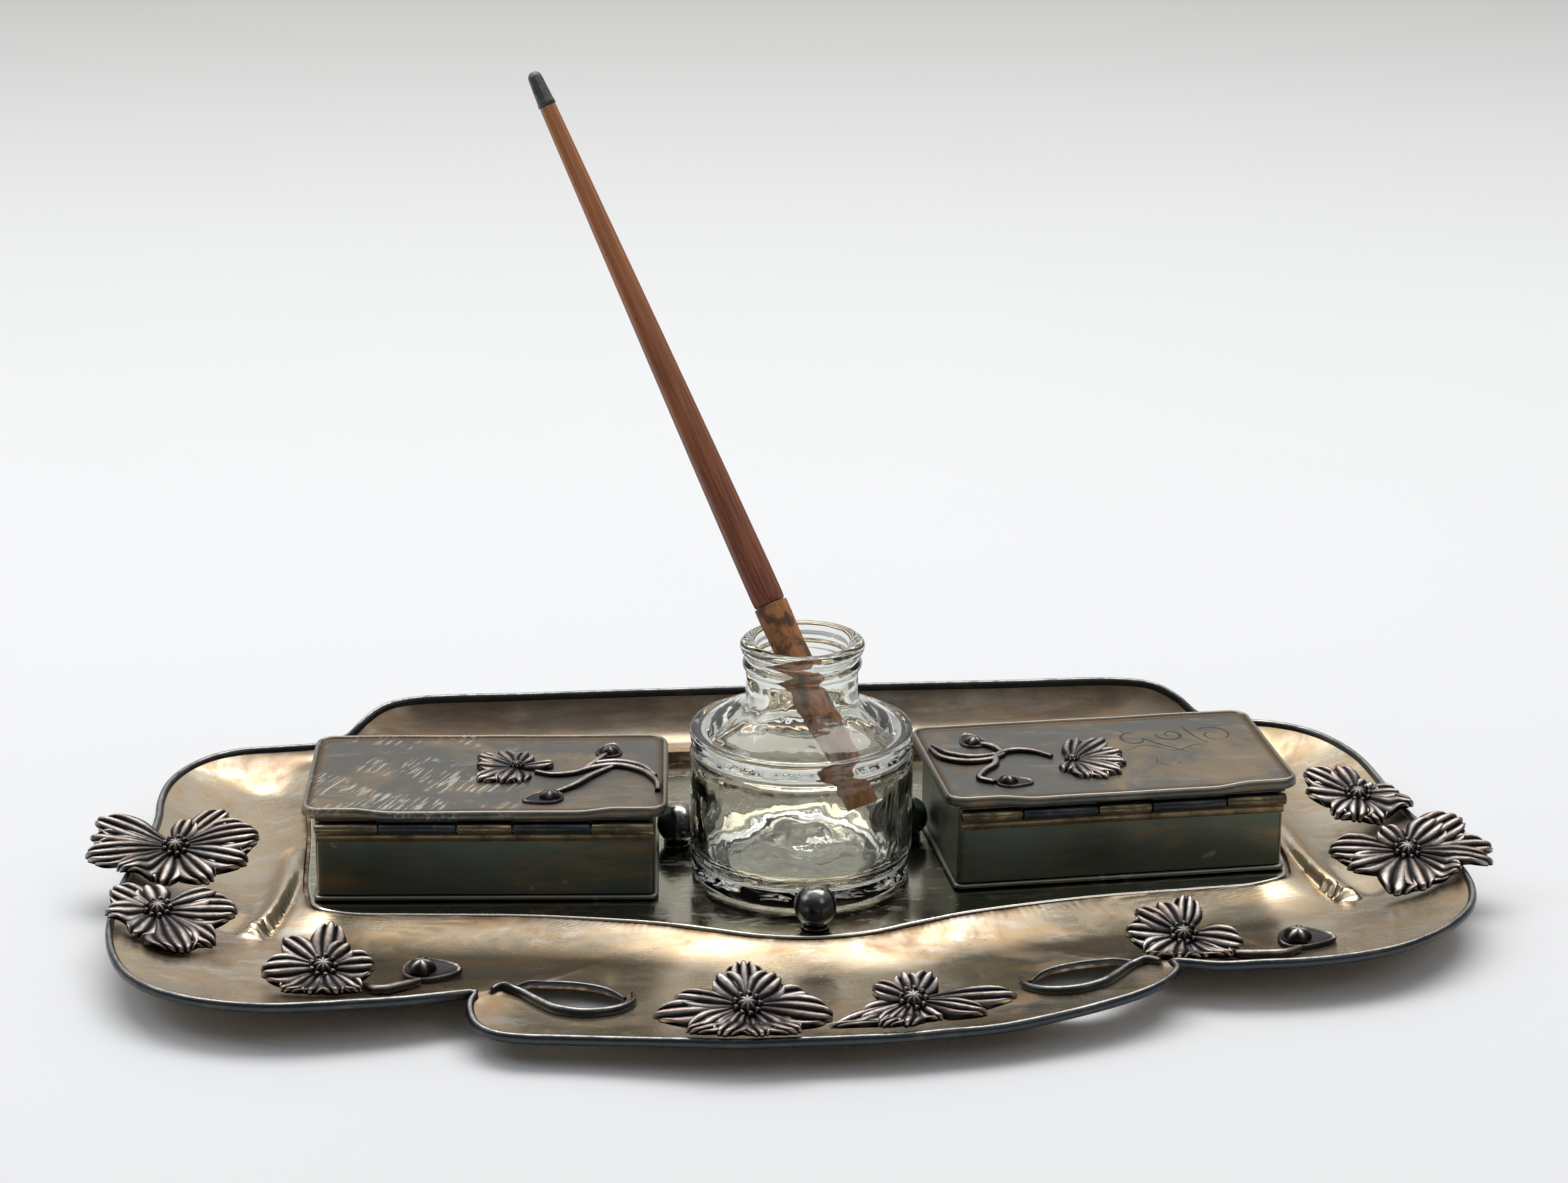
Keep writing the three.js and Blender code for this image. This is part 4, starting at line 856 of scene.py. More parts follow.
def build_tray():
    steps = sizes().rim_steps
    rim = respaced(RIM_CURVE, steps, closed=True)
    angle = np.arctan2(rim[:, 1], rim[:, 0])
    inner = plate_at(angle)[0] + PLINTH_MARGIN
    outer = np.hypot(rim[:, 0], rim[:, 1])
    shares = np.concatenate([[0.0], np.linspace(0.006, 0.4, 26), np.linspace(0.42, 1.0, 24)])

    def ring(share, drop):
        reach = inner + (outer - inner) * share
        z = tray_profile(angle, np.full(steps, share)) - drop
        return np.stack([reach * np.cos(angle), reach * np.sin(angle), z], 1)

    rings = [ring(s, 0) for s in shares] + [ring(s, SHEET) for s in shares[::-1]]
    # Points near the plate's crease and near the rim are marked low; the tray's finish paints dirt and shade
    # there.
    near_plate = np.exp(-((outer - inner)[None] * shares[:, None]) / 2.2)
    near_rim = np.exp(-((outer - inner)[None] * (1 - shares[:, None])) / 1.6)
    wear_and_light = 0.75 - 0.75 * np.maximum(near_plate, 0.7 * near_rim)
    sheet = ring_shell(rings, wear_and_light=np.vstack([wear_and_light, wear_and_light[::-1]]))
    piece = mesh_piece("tray_sheet", [sheet], finish("tray"), 50)
    cutters = [slit_cutter(side) for _, side in ENDS]
    for cutter in cutters:
        cut = piece.modifiers.new("slit", "BOOLEAN")
        cut.object = cutter
        cut.solver = "EXACT"
    graph = bpy.context.evaluated_depsgraph_get()
    graph.update()
    mesh = bpy.data.meshes.new_from_object(piece.evaluated_get(graph), depsgraph=graph)
    piece.modifiers.clear()
    piece.data = mesh
    mesh.shade_smooth()
    mesh.set_sharp_from_angle(angle=math.radians(50))
    for cutter in cutters:
        bpy.data.objects.remove(cutter)
    hand_over(piece, "root", "worn_plate", "tray")


def build_rim_bead():
    rim = respaced(RIM_CURVE, sizes().rim_steps, closed=True)
    rim[:, 2] -= 0.5
    thick = 1 + 0.08 * wobble(rim, 14)
    piece = bead_piece("rim_wire", [(np.column_stack([rim, thick]), True)], 0.95, 1.2, 16, finish("rim"))
    hand_over(piece, "root", "dark_plate", "rim_bead")


def build_slit_beads():
    for end, side in ENDS:
        line = respaced(smooth_curve([(side * x, y) for x, y in SLIT_BEAD]), 60)
        z = tray_height(line[:, 0], line[:, 1]) + 0.75
        share = np.linspace(0, 1, len(line))
        thick = 0.55 + 0.55 * np.sin(np.pi * np.clip(share * 1.05, 0, 1)) ** 0.6
        upper = respaced(smooth_curve([(side * x, y) for x, y in SLIT[:5]]), 40)
        upper_z = tray_height(upper[:, 0], upper[:, 1]) + 0.15
        paths = [(np.column_stack([line, z, thick]), False),
                 (np.column_stack([upper, upper_z, np.full(len(upper), 0.5)]), False)]
        piece = bead_piece(f"{end}_slit_bead", paths, 1.0, 1.15, 12, finish("rim"))
        hand_over(piece, "root", "dark_plate", f"{end}_tab_scroll")


def offset_loop(loop, inset):
    ahead = np.roll(loop, -1, axis=0) - np.roll(loop, 1, axis=0)
    out = np.stack([ahead[:, 1], -ahead[:, 0]], 1)
    return loop - inset * out / np.linalg.norm(out, axis=1, keepdims=True)


def build_plate():
    loop = respaced(PLATE_CURVE, 480, closed=True)
    thick = PLATE_TOP - PLATE_FOOT
    half = thick / 2
    rings, wear_and_light = [], []
    for turn in np.linspace(-90, 90, 13):
        inset = half * (1 - math.cos(math.radians(turn))) * 0.8
        z = PLATE_FOOT + half + half * math.sin(math.radians(turn))
        rings.append(np.column_stack([offset_loop(loop, inset), np.full(len(loop), z)]))
        # The rounded edge is marked brightest a little above its middle, where the plate's finish paints a
        # highlight.
        wear_and_light.append(np.full(len(loop), 0.5 + 0.5 * math.cos(math.radians(turn - 35))))
    for inset in (1.5, 3.0):
        rings.append(np.column_stack([offset_loop(loop, inset), np.full(len(loop), PLATE_TOP)]))
        wear_and_light.append(np.full(len(loop), 0.45))
    piece = mesh_piece("mirror_plate", [ring_shell(rings, wear_and_light=wear_and_light)], finish("mirror"), 60)
    hand_over(piece, "root", "mirror_plate", "platform_plate")


# ---- Feet and ball studs --------------------------------------------------------------------
def build_feet():
    names = [f"{end}_{place_name}_foot" for end, _ in ENDS for place_name in ("front", "back")]
    tops = sorted({round(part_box(name)[1].z / MM, 2) for name in names})
    for number, top in enumerate(tops):
        group = [name for name in names if abs(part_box(name)[1].z / MM - top) < 0.02]
        radius = (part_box(group[0])[1].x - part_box(group[0])[0].x) / 2 / MM
        swell = ((0.66, 0.0), (0.86, 0.12), (0.98, 0.34), (1.0, 0.5), (0.95, 0.7), (0.8, 1.0))
        profile = [(0.01, 0.0), *((radius * r, top * z) for r, z in swell), (0.01, top)]
        spots = [spot_of(name, 0) for name in group]
        button = turned_shell(profile, 48)
        piece = repeated_piece(f"button_feet_{number + 1}", [button], spots, finish("stud"))
        hand_over(piece, "root", "dark_plate", *group)


def build_studs():
    names = [f"{where}_ball_stud" for where in ("front", "right", "left")]
    low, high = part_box(names[0])
    radius = (high.x - low.x) / 2 / MM
    base = low.z / MM
    profile = [(0.01, 0), (radius * 0.66, 0), (radius * 0.68, 0.35), (radius * 0.55, 0.7)]
    wear_and_light = [0, 0, 0.2, 0.1]
    # The ball is marked brighter towards its top, where its finish paints a highlight.
    for turn in np.linspace(-58, 88, 22):
        profile.append((radius * math.cos(math.radians(turn)), radius * (1 + math.sin(math.radians(turn)))))
        wear_and_light.append(0.35 + 0.4 * smooth(20, 88, turn))
    ball = turned_shell(profile, 48, wear_and_light=wear_and_light)
    ball.points += 0.12 * wobble(ball.points, 2.4)[:, None] * np.array([1, 1, 0.6])
    spots = [spot_of(name, base) for name in names]
    turns = [(0, 0, 0.4), (0, 0, 2.1), (0, 0, 4.4)]
    piece = repeated_piece("ball_studs", [ball], spots, finish("stud"), turns)
    hand_over(piece, "root", "dark_plate", *names)


# ---- Cast flowers ---------------------------------------------------------------------------
class Seat:
    """A tilted working plane for a casting: x to the right, y up its slope, and its normal."""

    def __init__(self, spot, tilt, turn=0.0, drape=True):
        self.spot = np.array(spot, float)
        self.drape = drape
        t, a = math.radians(tilt), math.radians(turn)
        self.right = np.array([math.cos(a), math.sin(a), 0])
        level = np.array([-math.sin(a), math.cos(a), 0])
        self.up = level * math.cos(t) + np.array([0, 0, math.sin(t)])
        self.out = np.cross(self.right, self.up)

    def world(self, local):
        local = np.asarray(local, float)
        points = along_axes(self.spot, local, self.right, self.up, self.out)
        if self.drape:
            under = seat_height(points[..., 0], points[..., 1]) + 0.5 + 0.85 * local[..., 2]
            points[..., 2] = under + 0.4 * np.logaddexp(0, (points[..., 2] - under) / 0.4)
        return points


def petal(seat, tip, width, ribs=3, root=0.1, rise=1.3, curl=0.5, thick=0.9):
    """A fluted petal from near the seat's middle to its tip. Each flute ends in a round lobe."""
    tip = np.array(tip, float)
    length = np.linalg.norm(tip)
    ahead = tip / length
    across = np.array([-ahead[1], ahead[0]])
    side = np.linspace(-1, 1, 10 * ribs + 1)
    phase = 0 if ribs % 2 else math.pi / 2
    flute = np.abs(np.cos(math.pi * ribs * side / 2 + phase)) ** 0.7
    rings, wear_and_light = [], []
    for u in np.concatenate([np.linspace(root, 0.9, 16), [0.94, 0.97, 0.99, 1.0]]):
        broad = 0.32 + 0.68 * float(smooth(0.0, 0.62, u))
        half = width / 2 * broad * math.sqrt(1 - 0.6 * float(np.clip((u - 0.74) / 0.26, 0, 1)) ** 2.2)
        reach = length * u * (1 - 0.2 * side**2 * float(smooth(0.2, 1.0, u)))
        reach = reach + 0.9 * (flute - 1) * float(smooth(0.6, 1.0, u))
        bow = math.sin(math.pi * min(0.12 + 0.8 * u, 1))
        roll = math.sqrt(max(1 - ((u - 0.9) / 0.1) ** 2, 0)) if u > 0.9 else 1.0
        top = rise * (0.3 + 0.7 * bow) * (0.4 + 0.6 * (1 - side**2)) + curl * u**2
        top = top + 0.95 * flute * (0.2 + 0.8 * u)
        base = np.full(len(side), curl * u**2 - thick * 0.5)
        top = base + (top - base) * (0.25 + 0.75 * roll)
        flat = ahead[None] * reach[:, None] + across[None] * (side * half)[:, None]
        rings.append(np.vstack([np.column_stack([flat, top]), np.column_stack([flat, base])[::-1]]))
        # Flute ridges, brighter towards the tip: rubbed metal and a painted highlight.
        shine = np.clip(flute**1.6 * (0.3 + 0.75 * u), 0, 1)
        wear_and_light.append(np.concatenate([shine, np.full(len(side), 0.1)]))
    return ring_shell(seat.world(np.array(rings)), wear_and_light=np.array(wear_and_light))


def boss(seat, spot, radius, height, ridges=6):
    """A small ridged dome."""
    turn = np.arange(ridges * 6) / (ridges * 6) * 2 * np.pi
    rings, wear_and_light = [], []
    for level in np.linspace(0, 1, 8):
        spread = math.cos(level * math.pi / 2) ** 0.7
        wave = 1 + 0.14 * np.cos(ridges * turn) * spread
        r = radius * max(spread, 0.04) * wave
        z = height * math.sin(level * math.pi / 2)
        rings.append(np.stack([spot[0] + r * np.cos(turn), spot[1] + r * np.sin(turn), z + 0 * turn], 1))
        # Brighter towards the top of the dome: a painted highlight.
        wear_and_light.append(0.15 + 0.75 * level * (0.6 + 0.4 * np.cos(ridges * turn)))
    rings.insert(0, rings[0] - np.array([0, 0, 1.0]))
    wear_and_light.insert(0, wear_and_light[0] * 0)
    return ring_shell(seat.world(np.array(rings)), wear_and_light=np.array(wear_and_light))


def bud(seat, length, width, height):
    """A closed bud: a pointed leaf below with a ribbed ball on it."""
    turn = np.linspace(0, 2 * np.pi, 36, endpoint=False)
    point = np.maximum(np.cos(turn), 0) ** 3
    outline = np.stack([length * (0.36 * np.cos(turn) + 0.28 * point), width * 0.5 * np.sin(turn)], 1)
    rings, wear_and_light = [], []
    # The cup's upper rim is marked brightest: a painted highlight.
    for share, z, shine in ((1, -0.8, 0), (1, 0.4, 0.5), (0.93, 0.75, 1), (0.84, 0.4, 0.2), (0.6, 0.35, 0.1)):
        rings.append(np.column_stack([outline * share, np.full(len(turn), z)]))
        wear_and_light.append(np.full(len(turn), shine))
    cup = ring_shell(seat.world(np.array(rings)), wear_and_light=np.array(wear_and_light))
    return [cup, boss(seat, (-length * 0.03, 0), width * 0.33, height, 5)]


def blossom(seat, petals, heart=2.7, high=3.2, **how):
    """Petals round a heart of small bosses. A petal is tip x, tip y, width and its ribs."""
    shells = []
    for number, tip in enumerate(petals):
        how_high = how.get("rise", 1.3) * (0.85 + 0.3 * (number % 3))
        shells.append(petal(seat, tip[:2], tip[2] * 1.16, tip[3] + 1, **{**how, "rise": how_high}))
    for k in range(9):
        a = k * math.pi / 4.5
        shells.append(boss(seat, (heart * math.cos(a), heart * math.sin(a)), heart * 0.34, high * 0.8, 3))
    shells.append(boss(seat, (0, 0), heart * 0.92, high, 8))
    return shells


def on_tray(x, y, above):
    return (x, y, float(tray_height(np.array(x), np.array(y))) + above)


def cast_stem(points, above, width):
    """A stem that lies along the tray, as a shell."""
    line = respaced(smooth_curve(points), 26)
    z = tray_height(line[:, 0], line[:, 1]) + above
    ahead = np.gradient(line, axis=0)
    ahead /= np.linalg.norm(ahead, axis=1, keepdims=True)
    out = np.stack([ahead[:, 1], -ahead[:, 0]], 1)
    turn = np.linspace(0, 2 * np.pi, 12, endpoint=False)
    rings, wear_and_light = [], []
    for k, p in enumerate(line):
        taper = width / 2 * (0.6 + 0.4 * math.sin(math.pi * k / (len(line) - 1)))
        flat = p[None] + out[k][None] * (taper * np.cos(turn))[:, None]
        rings.append(np.column_stack([flat, z[k] + taper * 1.1 * np.sin(turn)]))
        # Brighter along the stem's upper side: a painted highlight.
        wear_and_light.append(0.2 + 0.7 * np.maximum(np.sin(turn), 0))
    return ring_shell(rings, wear_and_light=wear_and_light)


FLOWERS = {
    "left_end_flower": ((-146, 12.5, 5.6), 24, (
        (-19, 10, 8.5, 3), (-21, -1.5, 10, 4), (-13, -10.5, 8.5, 3), (-3, -12, 7.5, 2), (8.5, -11, 9, 3),
        (19.5, 3.5, 12, 5), (12, 11.5, 7.5, 3), (3.5, 9, 6, 2), (17, -5, 9, 3), (-20, 4.5, 7, 2))),
    "left_end_leaves": ((-148.5, -21, 4.2), 20, (
        (-11, 7.5, 8, 3), (-12, -1, 7.5, 2), (6, -17, 11.5, 4), (13, -12, 8.5, 3), (18, -1, 10.5, 4),
        (13.5, 4.5, 7, 2), (-3, 8, 8, 2), (-5, -10, 7.5, 2))),
    "left_wing_spray": ((-111, -52, 3.8), 28, (
        (2, 13, 7, 2), (-9, 8.5, 6.5, 2), (-13.8, -0.5, 8.5, 3), (-9, -8.5, 8, 3), (-3, -10.5, 6.5, 2),
        (3, -11, 6.5, 2), (8, -8.5, 7, 3), (11.5, 0.5, 8, 3), (6, 6, 6.5, 2))),
    "right_wing_spray": ((81.5, -50, 4.2), 28, (
        (2.5, 11.5, 7, 3), (-4.5, 9.5, 7, 2), (-10, 7.5, 6, 2), (-13, 2, 8.5, 3), (-9.5, -7, 8.5, 3),
        (-2.5, -9.5, 6.5, 2), (4, -9.5, 6.5, 2), (10, -8.5, 7, 3), (13.5, -3.5, 9, 3))),
    "right_end_flower": ((142, -12.5, 6.2), 26, (
        (21, 0.5, 8.5, 3), (15.5, 9.5, 11, 4), (10, 8.5, 9, 3), (-18.5, 1, 10, 4), (-5, -14, 9.5, 2),
        (1.5, -13.5, 8, 2), (10.5, -11, 8.5, 3), (-5, 7.5, 7, 2), (20, -4.5, 7, 2), (-15, -4.5, 7, 2))),
    "right_end_leaves": ((139, 24, 5.4), 20, (
        (-12.5, 2.5, 7.5, 2), (-11.5, 9.5, 8.5, 3), (-2, -9, 8.5, 3), (4, -10, 7.5, 3), (10.5, -1, 8.5, 3),
        (12.5, -6.5, 7.5, 2), (4.5, 4, 7, 2), (-7, -7.5, 7, 2), (-3.5, 10.5, 7, 2))),
    "front_daisy": ((-20, -82.5, 5.0), 30, (
        (0, 12, 9.5, 4), (-6, 8.5, 7.5, 2), (7.5, 7.5, 8.5, 3), (-20.5, -1.5, 6.5, 2), (-13.5, -8.5, 8, 3),
        (-6.5, -11, 8, 3), (2.5, -12, 9, 4), (10.5, -11, 8.5, 3), (18.5, -3.5, 8.5, 3), (13.5, 2.5, 7, 2),
        (-15.5, 3, 5.5, 2))),
    "front_small_flower": ((16, -82, 4.6), 28, (
        (5, 7.5, 6, 2), (-1.5, 7.5, 6, 2), (-8.5, 4, 5.5, 2), (-12, -4.5, 6, 2), (-8, -9.5, 6.5, 3),
        (-2.5, -10, 6, 2), (6, -5.5, 5.5, 2), (23, 0.5, 5.5, 2), (16, -4.5, 5, 2), (-19, -8.5, 5.5, 2))),
}
BUDS = {"left_wing_spray": (22, 6), "right_wing_spray": (27, 1)}


def build_flowers():
    for name, (where, tilt, petals) in FLOWERS.items():
        shells = blossom(Seat(on_tray(*where), tilt), petals)
        if name in BUDS:
            x, y = where[:2]
            dx, dy = BUDS[name]
            stem = [(x + 8, y - 2), (x + 12.5, y - 6.5), (x + dx - 6, y + dy - 10),
                    (x + dx - 1, y + dy - 5.5)]
            shells.append(cast_stem(stem, 1.1, 2.2))
            shells += bud(Seat(on_tray(x + dx, y + dy, 1.4), 12), 13.5, 9, 3.2)
        piece = mesh_piece(name.replace("flower", "blossom") + "_cast", shells, finish("cast"), 60)
        hand_over(piece, "root", "cast_ornament", name)


# ---- Stamp boxes ----------------------------------------------------------------------------
class BoxFrame:
    """One stamp box's own axes: x along its hinge, y to the back, z up, from its middle."""

    def __init__(self, end):
        joint = JOINTS[f"{end}_lid_hinge"]
        self.ahead = np.array(joint["axis"])
        self.back = np.array([-self.ahead[1], self.ahead[0], 0])
        co = self.along_box(node_points(f"{end}_box_walls", np.zeros(3)))
        centre = (co.min(0) + co.max(0)) / 2
        self.origin = self.ahead * centre[0] + self.back * centre[1]
        hinge = np.array(joint["pos_m"]) - self.origin
        self.hinge_y = float(hinge @ self.back) / MM
        self.hinge_z = joint["pos_m"][2] / MM

    def along_box(self, points):
        return np.stack([points @ self.ahead, points @ self.back, points[:, 2]], 1)

    def span(self, node):
        """Lowest and highest corner of a node along the box's own axes, in millimetres."""
        corners = self.along_box(node_points(node, self.origin)) / MM
        return corners.min(0), corners.max(0)

    def world(self, local):
        """Millimetres off the bottle's axis, from the box's own millimetres."""
        return along_axes(from_axis(self.origin), local, self.ahead, self.back, np.array([0, 0, 1]))


def rounded_loop(low, high, inset, corner, z, arc=8):
    """A rectangle with round corners, as points (x, y, z)."""
    r = max(corner - inset, 0.15)
    points = []
    for quarter, (sx, sy) in enumerate(((1, 1), (-1, 1), (-1, -1), (1, -1))):
        cx = (high[0] - inset - r) if sx > 0 else (low[0] + inset + r)
        cy = (high[1] - inset - r) if sy > 0 else (low[1] + inset + r)
        for k in range(arc + 1):
            turn = (quarter + k / arc) * math.pi / 2
            points.append((cx + r * math.cos(turn), cy + r * math.sin(turn), z))
    return np.array(points)


def dense_sides(loop, arc=8):
    """The loop with extra points on its straight sides, the same for every inset."""
    out = []
    for i, p in enumerate(loop):
        q = loop[(i + 1) % len(loop)]
        out.append(p)
        if i % (arc + 1) == arc:
            count = 36 if (i // (arc + 1)) % 2 == 0 else 18
            out += [p + (q - p) * k / count for k in range(1, count)]
    return np.array(out)


def build_boxes():
    for end, _ in ENDS:
        box = BoxFrame(end)
        low, high = box.span(f"{end}_box_walls")
        sides = ((0.0, low[2]), (0.0, low[2] + 0.4), (0.0, high[2] - 0.25), (0.25, high[2]), (0.75, high[2]),
                 (1.0, high[2] - 0.25), (1.0, low[2]))
        rings = [box.world(rounded_loop(low, high, inset, 1.6, z)) for inset, z in sides]
        wear_and_light = [np.full(len(rings[0]), w) for w in (0.9, 0.5, 0.6, 1, 0.8, 0.4, 0.4)]
        for ring in wear_and_light[:3]:
            ring[[k for k in range(len(ring)) if k % 9 == 4]] = 0.95
        walls = mesh_piece(f"{end}_box_case", [ring_shell(rings, looped=True, wear_and_light=wear_and_light)], finish("box"))
        hand_over(walls, "root", "box_plate", f"{end}_box_walls")
        low, high = box.span(f"{end}_box_floor")
        shelf = ((0.5, low[2]), (0.1, low[2] + 0.15), (0.0, low[2] + 0.4), (0.05, high[2] - 0.3),
                 (0.3, high[2] - 0.05), (0.7, high[2]))
        rings = [box.world(rounded_loop(low, high, inset, 2.0, z)) for inset, z in shelf]
        wear_and_light = [np.full(len(rings[0]), w) for w in (0, 0.3, 0.8, 1, 0.9, 0.3)]
        piece = mesh_piece(f"{end}_box_base", [ring_shell(rings, wear_and_light=wear_and_light)], finish("box"))
        hand_over(piece, "root", "box_plate", f"{end}_box_floor")


def lid_wave(x, half):
    """How far the lid's front lip dips and swells between its ends, from 0 to 1."""
    share = np.abs(x) / half
    return 1 - smooth(0.50, 0.72, share)


def build_lids():
    for end, side in ENDS:
        box = BoxFrame(end)
        low, high = box.span(f"{end}_lid")
        half = (high[0] - low[0]) / 2
        top, foot = high[2], low[2]
        # Each ring's value is low in the groove inside the border and underneath, where the finish paints
        # shade, and high on top of the border, where it paints a highlight.
        underside = ((5.0, top - 1.5, 0.4), (2.4, top - 1.5, 0.3), (0.8, top - 2.3, 0.3), (0.8, foot, 0.4))
        skirt = ((0.4, foot, 0.8), (0.05, foot + 0.2, 0.8), (0.0, foot + 0.5, 0.7), (0.0, top - 1.3, 0.7))
        border = ((0.15, top - 0.6, 0.85), (0.45, top - 0.15, 1.0), (0.75, top, 1.0), (1.05, top - 0.1, 0.9))
        field = ((1.3, top - 0.45, 0.2), (1.5, top - 0.68, 0.0), (1.9, top - 0.7, 0.1),
                 (3.5, top - 0.7, 0.45))
        rings, wear_and_light = [], []
        for inset, z, worn_and_lit in underside + skirt + border + field:
            loop = dense_sides(rounded_loop(low, high, inset, 4.5, z))
            near = smooth(low[1] + 7, low[1] + 1, loop[:, 1])
            dip = lid_wave(loop[:, 0], half) * near
            outer = 1.0 if inset < 1.4 else 0.45
            loop[:, 2] += np.where(z > top - 1.6, -0.55 * dip * outer, 0) + 0.14 * (1 - dip) * near * outer
            loop[:, 1] -= 0.5 * dip * outer * (1 if inset < 1.4 else 0.5)
            loop[:, 2] += 0.12 * wobble(loop, 16, 3 * side) * (1 if z > top - 1.6 else 0)
            rings.append(box.world(loop))
            wear_and_light.append(np.full(len(loop), worn_and_lit))
        shell = ring_shell(rings, wear_and_light=wear_and_light)
        piece = mesh_piece(f"{end}_lid_panel", [shell], finish("lid"), 55)
        hand_over(piece, f"{end}_lid", "lid_plate", f"{end}_lid")


# Reliefs are drawn from the lid's inner end: distance in, then y from the lid's middle.
LID_FLOWERS = {
    "left": {
        "flower": ((35.5, 2.5), ((-9.5, 1, 6.5, 2), (-9, -8, 6, 2), (-3.5, -9.5, 5.5, 2), (1, -9, 5.5, 2),
                                 (-4.5, 8, 6.5, 2), (2.5, 7, 5, 2), (9, 1.5, 3.5, 1), (-9.5, 6, 5, 2))),
        "buds": (((14.0, 12.5), 80, 9), ((27.5, -15.5), 200, 10)),
        "stems": (((31, 0), (27, -2), (22, -1), (18, 2), (12, 3.5), (6, 0), (2.6, -7), (2.4, -12)),
                  ((20, 1), (17.5, 5), (15.5, 9), (14.5, 11)),
                  ((13, 3), (18, -3), (22, -9), (26, -13)),
                  ((2.9, -3), (6, 3), (12, 6), (18, 5))),
    },
    "right": {
        "flower": ((34, -3.5), ((13, 3, 6, 2), (12.5, -3.5, 6, 2), (10, -9, 5.5, 2), (6, -11.5, 5, 2),
                                (1.5, -11, 5, 2), (10.5, 10, 6, 2), (4, 11.5, 5.5, 2), (-3, -6.5, 4, 1))),
        "buds": (((13.5, 12.0), 100, 9), ((16.5, -14.0), -10, 9)),
        "stems": (((30, 0), (26, 4), (21, 5), (17, 2), (15.5, -3), (12, -7), (10, -11), (13, -14)),
                  ((2.4, 9), (4, 3), (9, -0.5), (15, 0), (19, 3)),
                  ((3.4, 11), (6, 5.5), (11, 2.2), (17, 3)),
                  ((19, 4), (17.5, 8), (15, 10.5))),
    },
}


def build_lid_reliefs():
    for end, side in ENDS:
        box = BoxFrame(end)
        low, high = box.span(f"{end}_lid")
        panel = high[2] - 0.75
        inner = high[0] if side < 0 else low[0]
        mid = (low[1] + high[1]) / 2
        drawing = LID_FLOWERS[end]

        def at(spot, z=panel):
            return box.world(np.array([inner + side * spot[0], mid + spot[1], z]))

        turn = math.degrees(math.atan2(box.ahead[1], box.ahead[0]))
        centre, petals = drawing["flower"]
        seat = Seat(at(centre), 3, turn, drape=False)
        shells = blossom(seat, petals, heart=1.4, high=2.2, rise=0.9, curl=0.3, thick=0.6)
        for spot, heading, length in drawing["buds"]:
            shells += bud(Seat(at(spot), 0, turn + heading, drape=False), length, length * 0.72, 2.0)
        lines = []
        for stem in drawing["stems"]:
            line = respaced(smooth_curve([at(spot, panel + 0.45) for spot in stem]), 44)
            fade = 0.55 + 0.45 * np.sin(np.linspace(0.15, math.pi - 0.3, len(line)))
            lines.append((np.column_stack([line, fade]), False))
        stems = bead_piece(f"{end}_relief_stems", lines, 0.95, 0.9, 10, finish("cast"))
        hand_over(stems, f"{end}_lid", "cast_ornament")
        piece = mesh_piece(f"{end}_relief_flower", shells, finish("cast"), 60)
        hand_over(piece, f"{end}_lid", "cast_ornament", f"{end}_lid_relief")


def flourish(centre, size, turns, start, tighten):
    """A plain spiral scroll for engraving."""
    t = np.linspace(0, 1, 40)
    angle = start + turns * 2 * np.pi * t
    radius = size * (1 - tighten * t)
    return [(centre[0] + r * math.cos(a), centre[1] + r * math.sin(a)) for r, a in zip(radius, angle)]


def build_engraving():
    """A leafy scroll cut into the right lid. It spells nothing."""
    box = BoxFrame("right")
    low, high = box.span("right_lid")
    panel = high[2] - 0.74
    middle_x = low[0] + (high[0] - low[0]) * 0.765
    middle_y = (low[1] + high[1]) / 2 + 2
    curls = [((-9, 5), 3.4, 1.3, 0.4, 0.8), ((-2, 6), 2.8, 1.2, 2.6, 0.75), ((6, 5), 3.6, -1.3, 2.2, 0.8),
             ((-6, -5), 3.2, -1.2, 1.2, 0.8), ((3, -6), 3.4, 1.4, 3.6, 0.8), ((10, -2), 4.2, -0.7, 1.5, 0.3)]
    curls = [flourish(*curl) for curl in curls]
    curls += [[(-12, 0), (-8, 2), (-3, -1), (2, 1), (7, -1), (12, 2)], [(-11, 9), (-5, 2), (0, -4), (-2, -9)],
              [(1, 10), (3, 3), (8, -3), (6, -9)]]
    lines = []
    for curl in curls:
        local = [(middle_x + x * 1.3, middle_y + y * 1.45, panel) for x, y in curl]
        line = respaced(smooth_curve(box.world(local)), 60)
        share = np.linspace(0, 1, len(line))
        lines.append((np.column_stack([line, 0.35 + 0.65 * np.sin(np.pi * share)]), False))
    piece = bead_piece("engraved_scroll", lines, 0.42, 0.05, 6, finish("engraving"))
    hand_over(piece, "right_lid", "lid_plate")


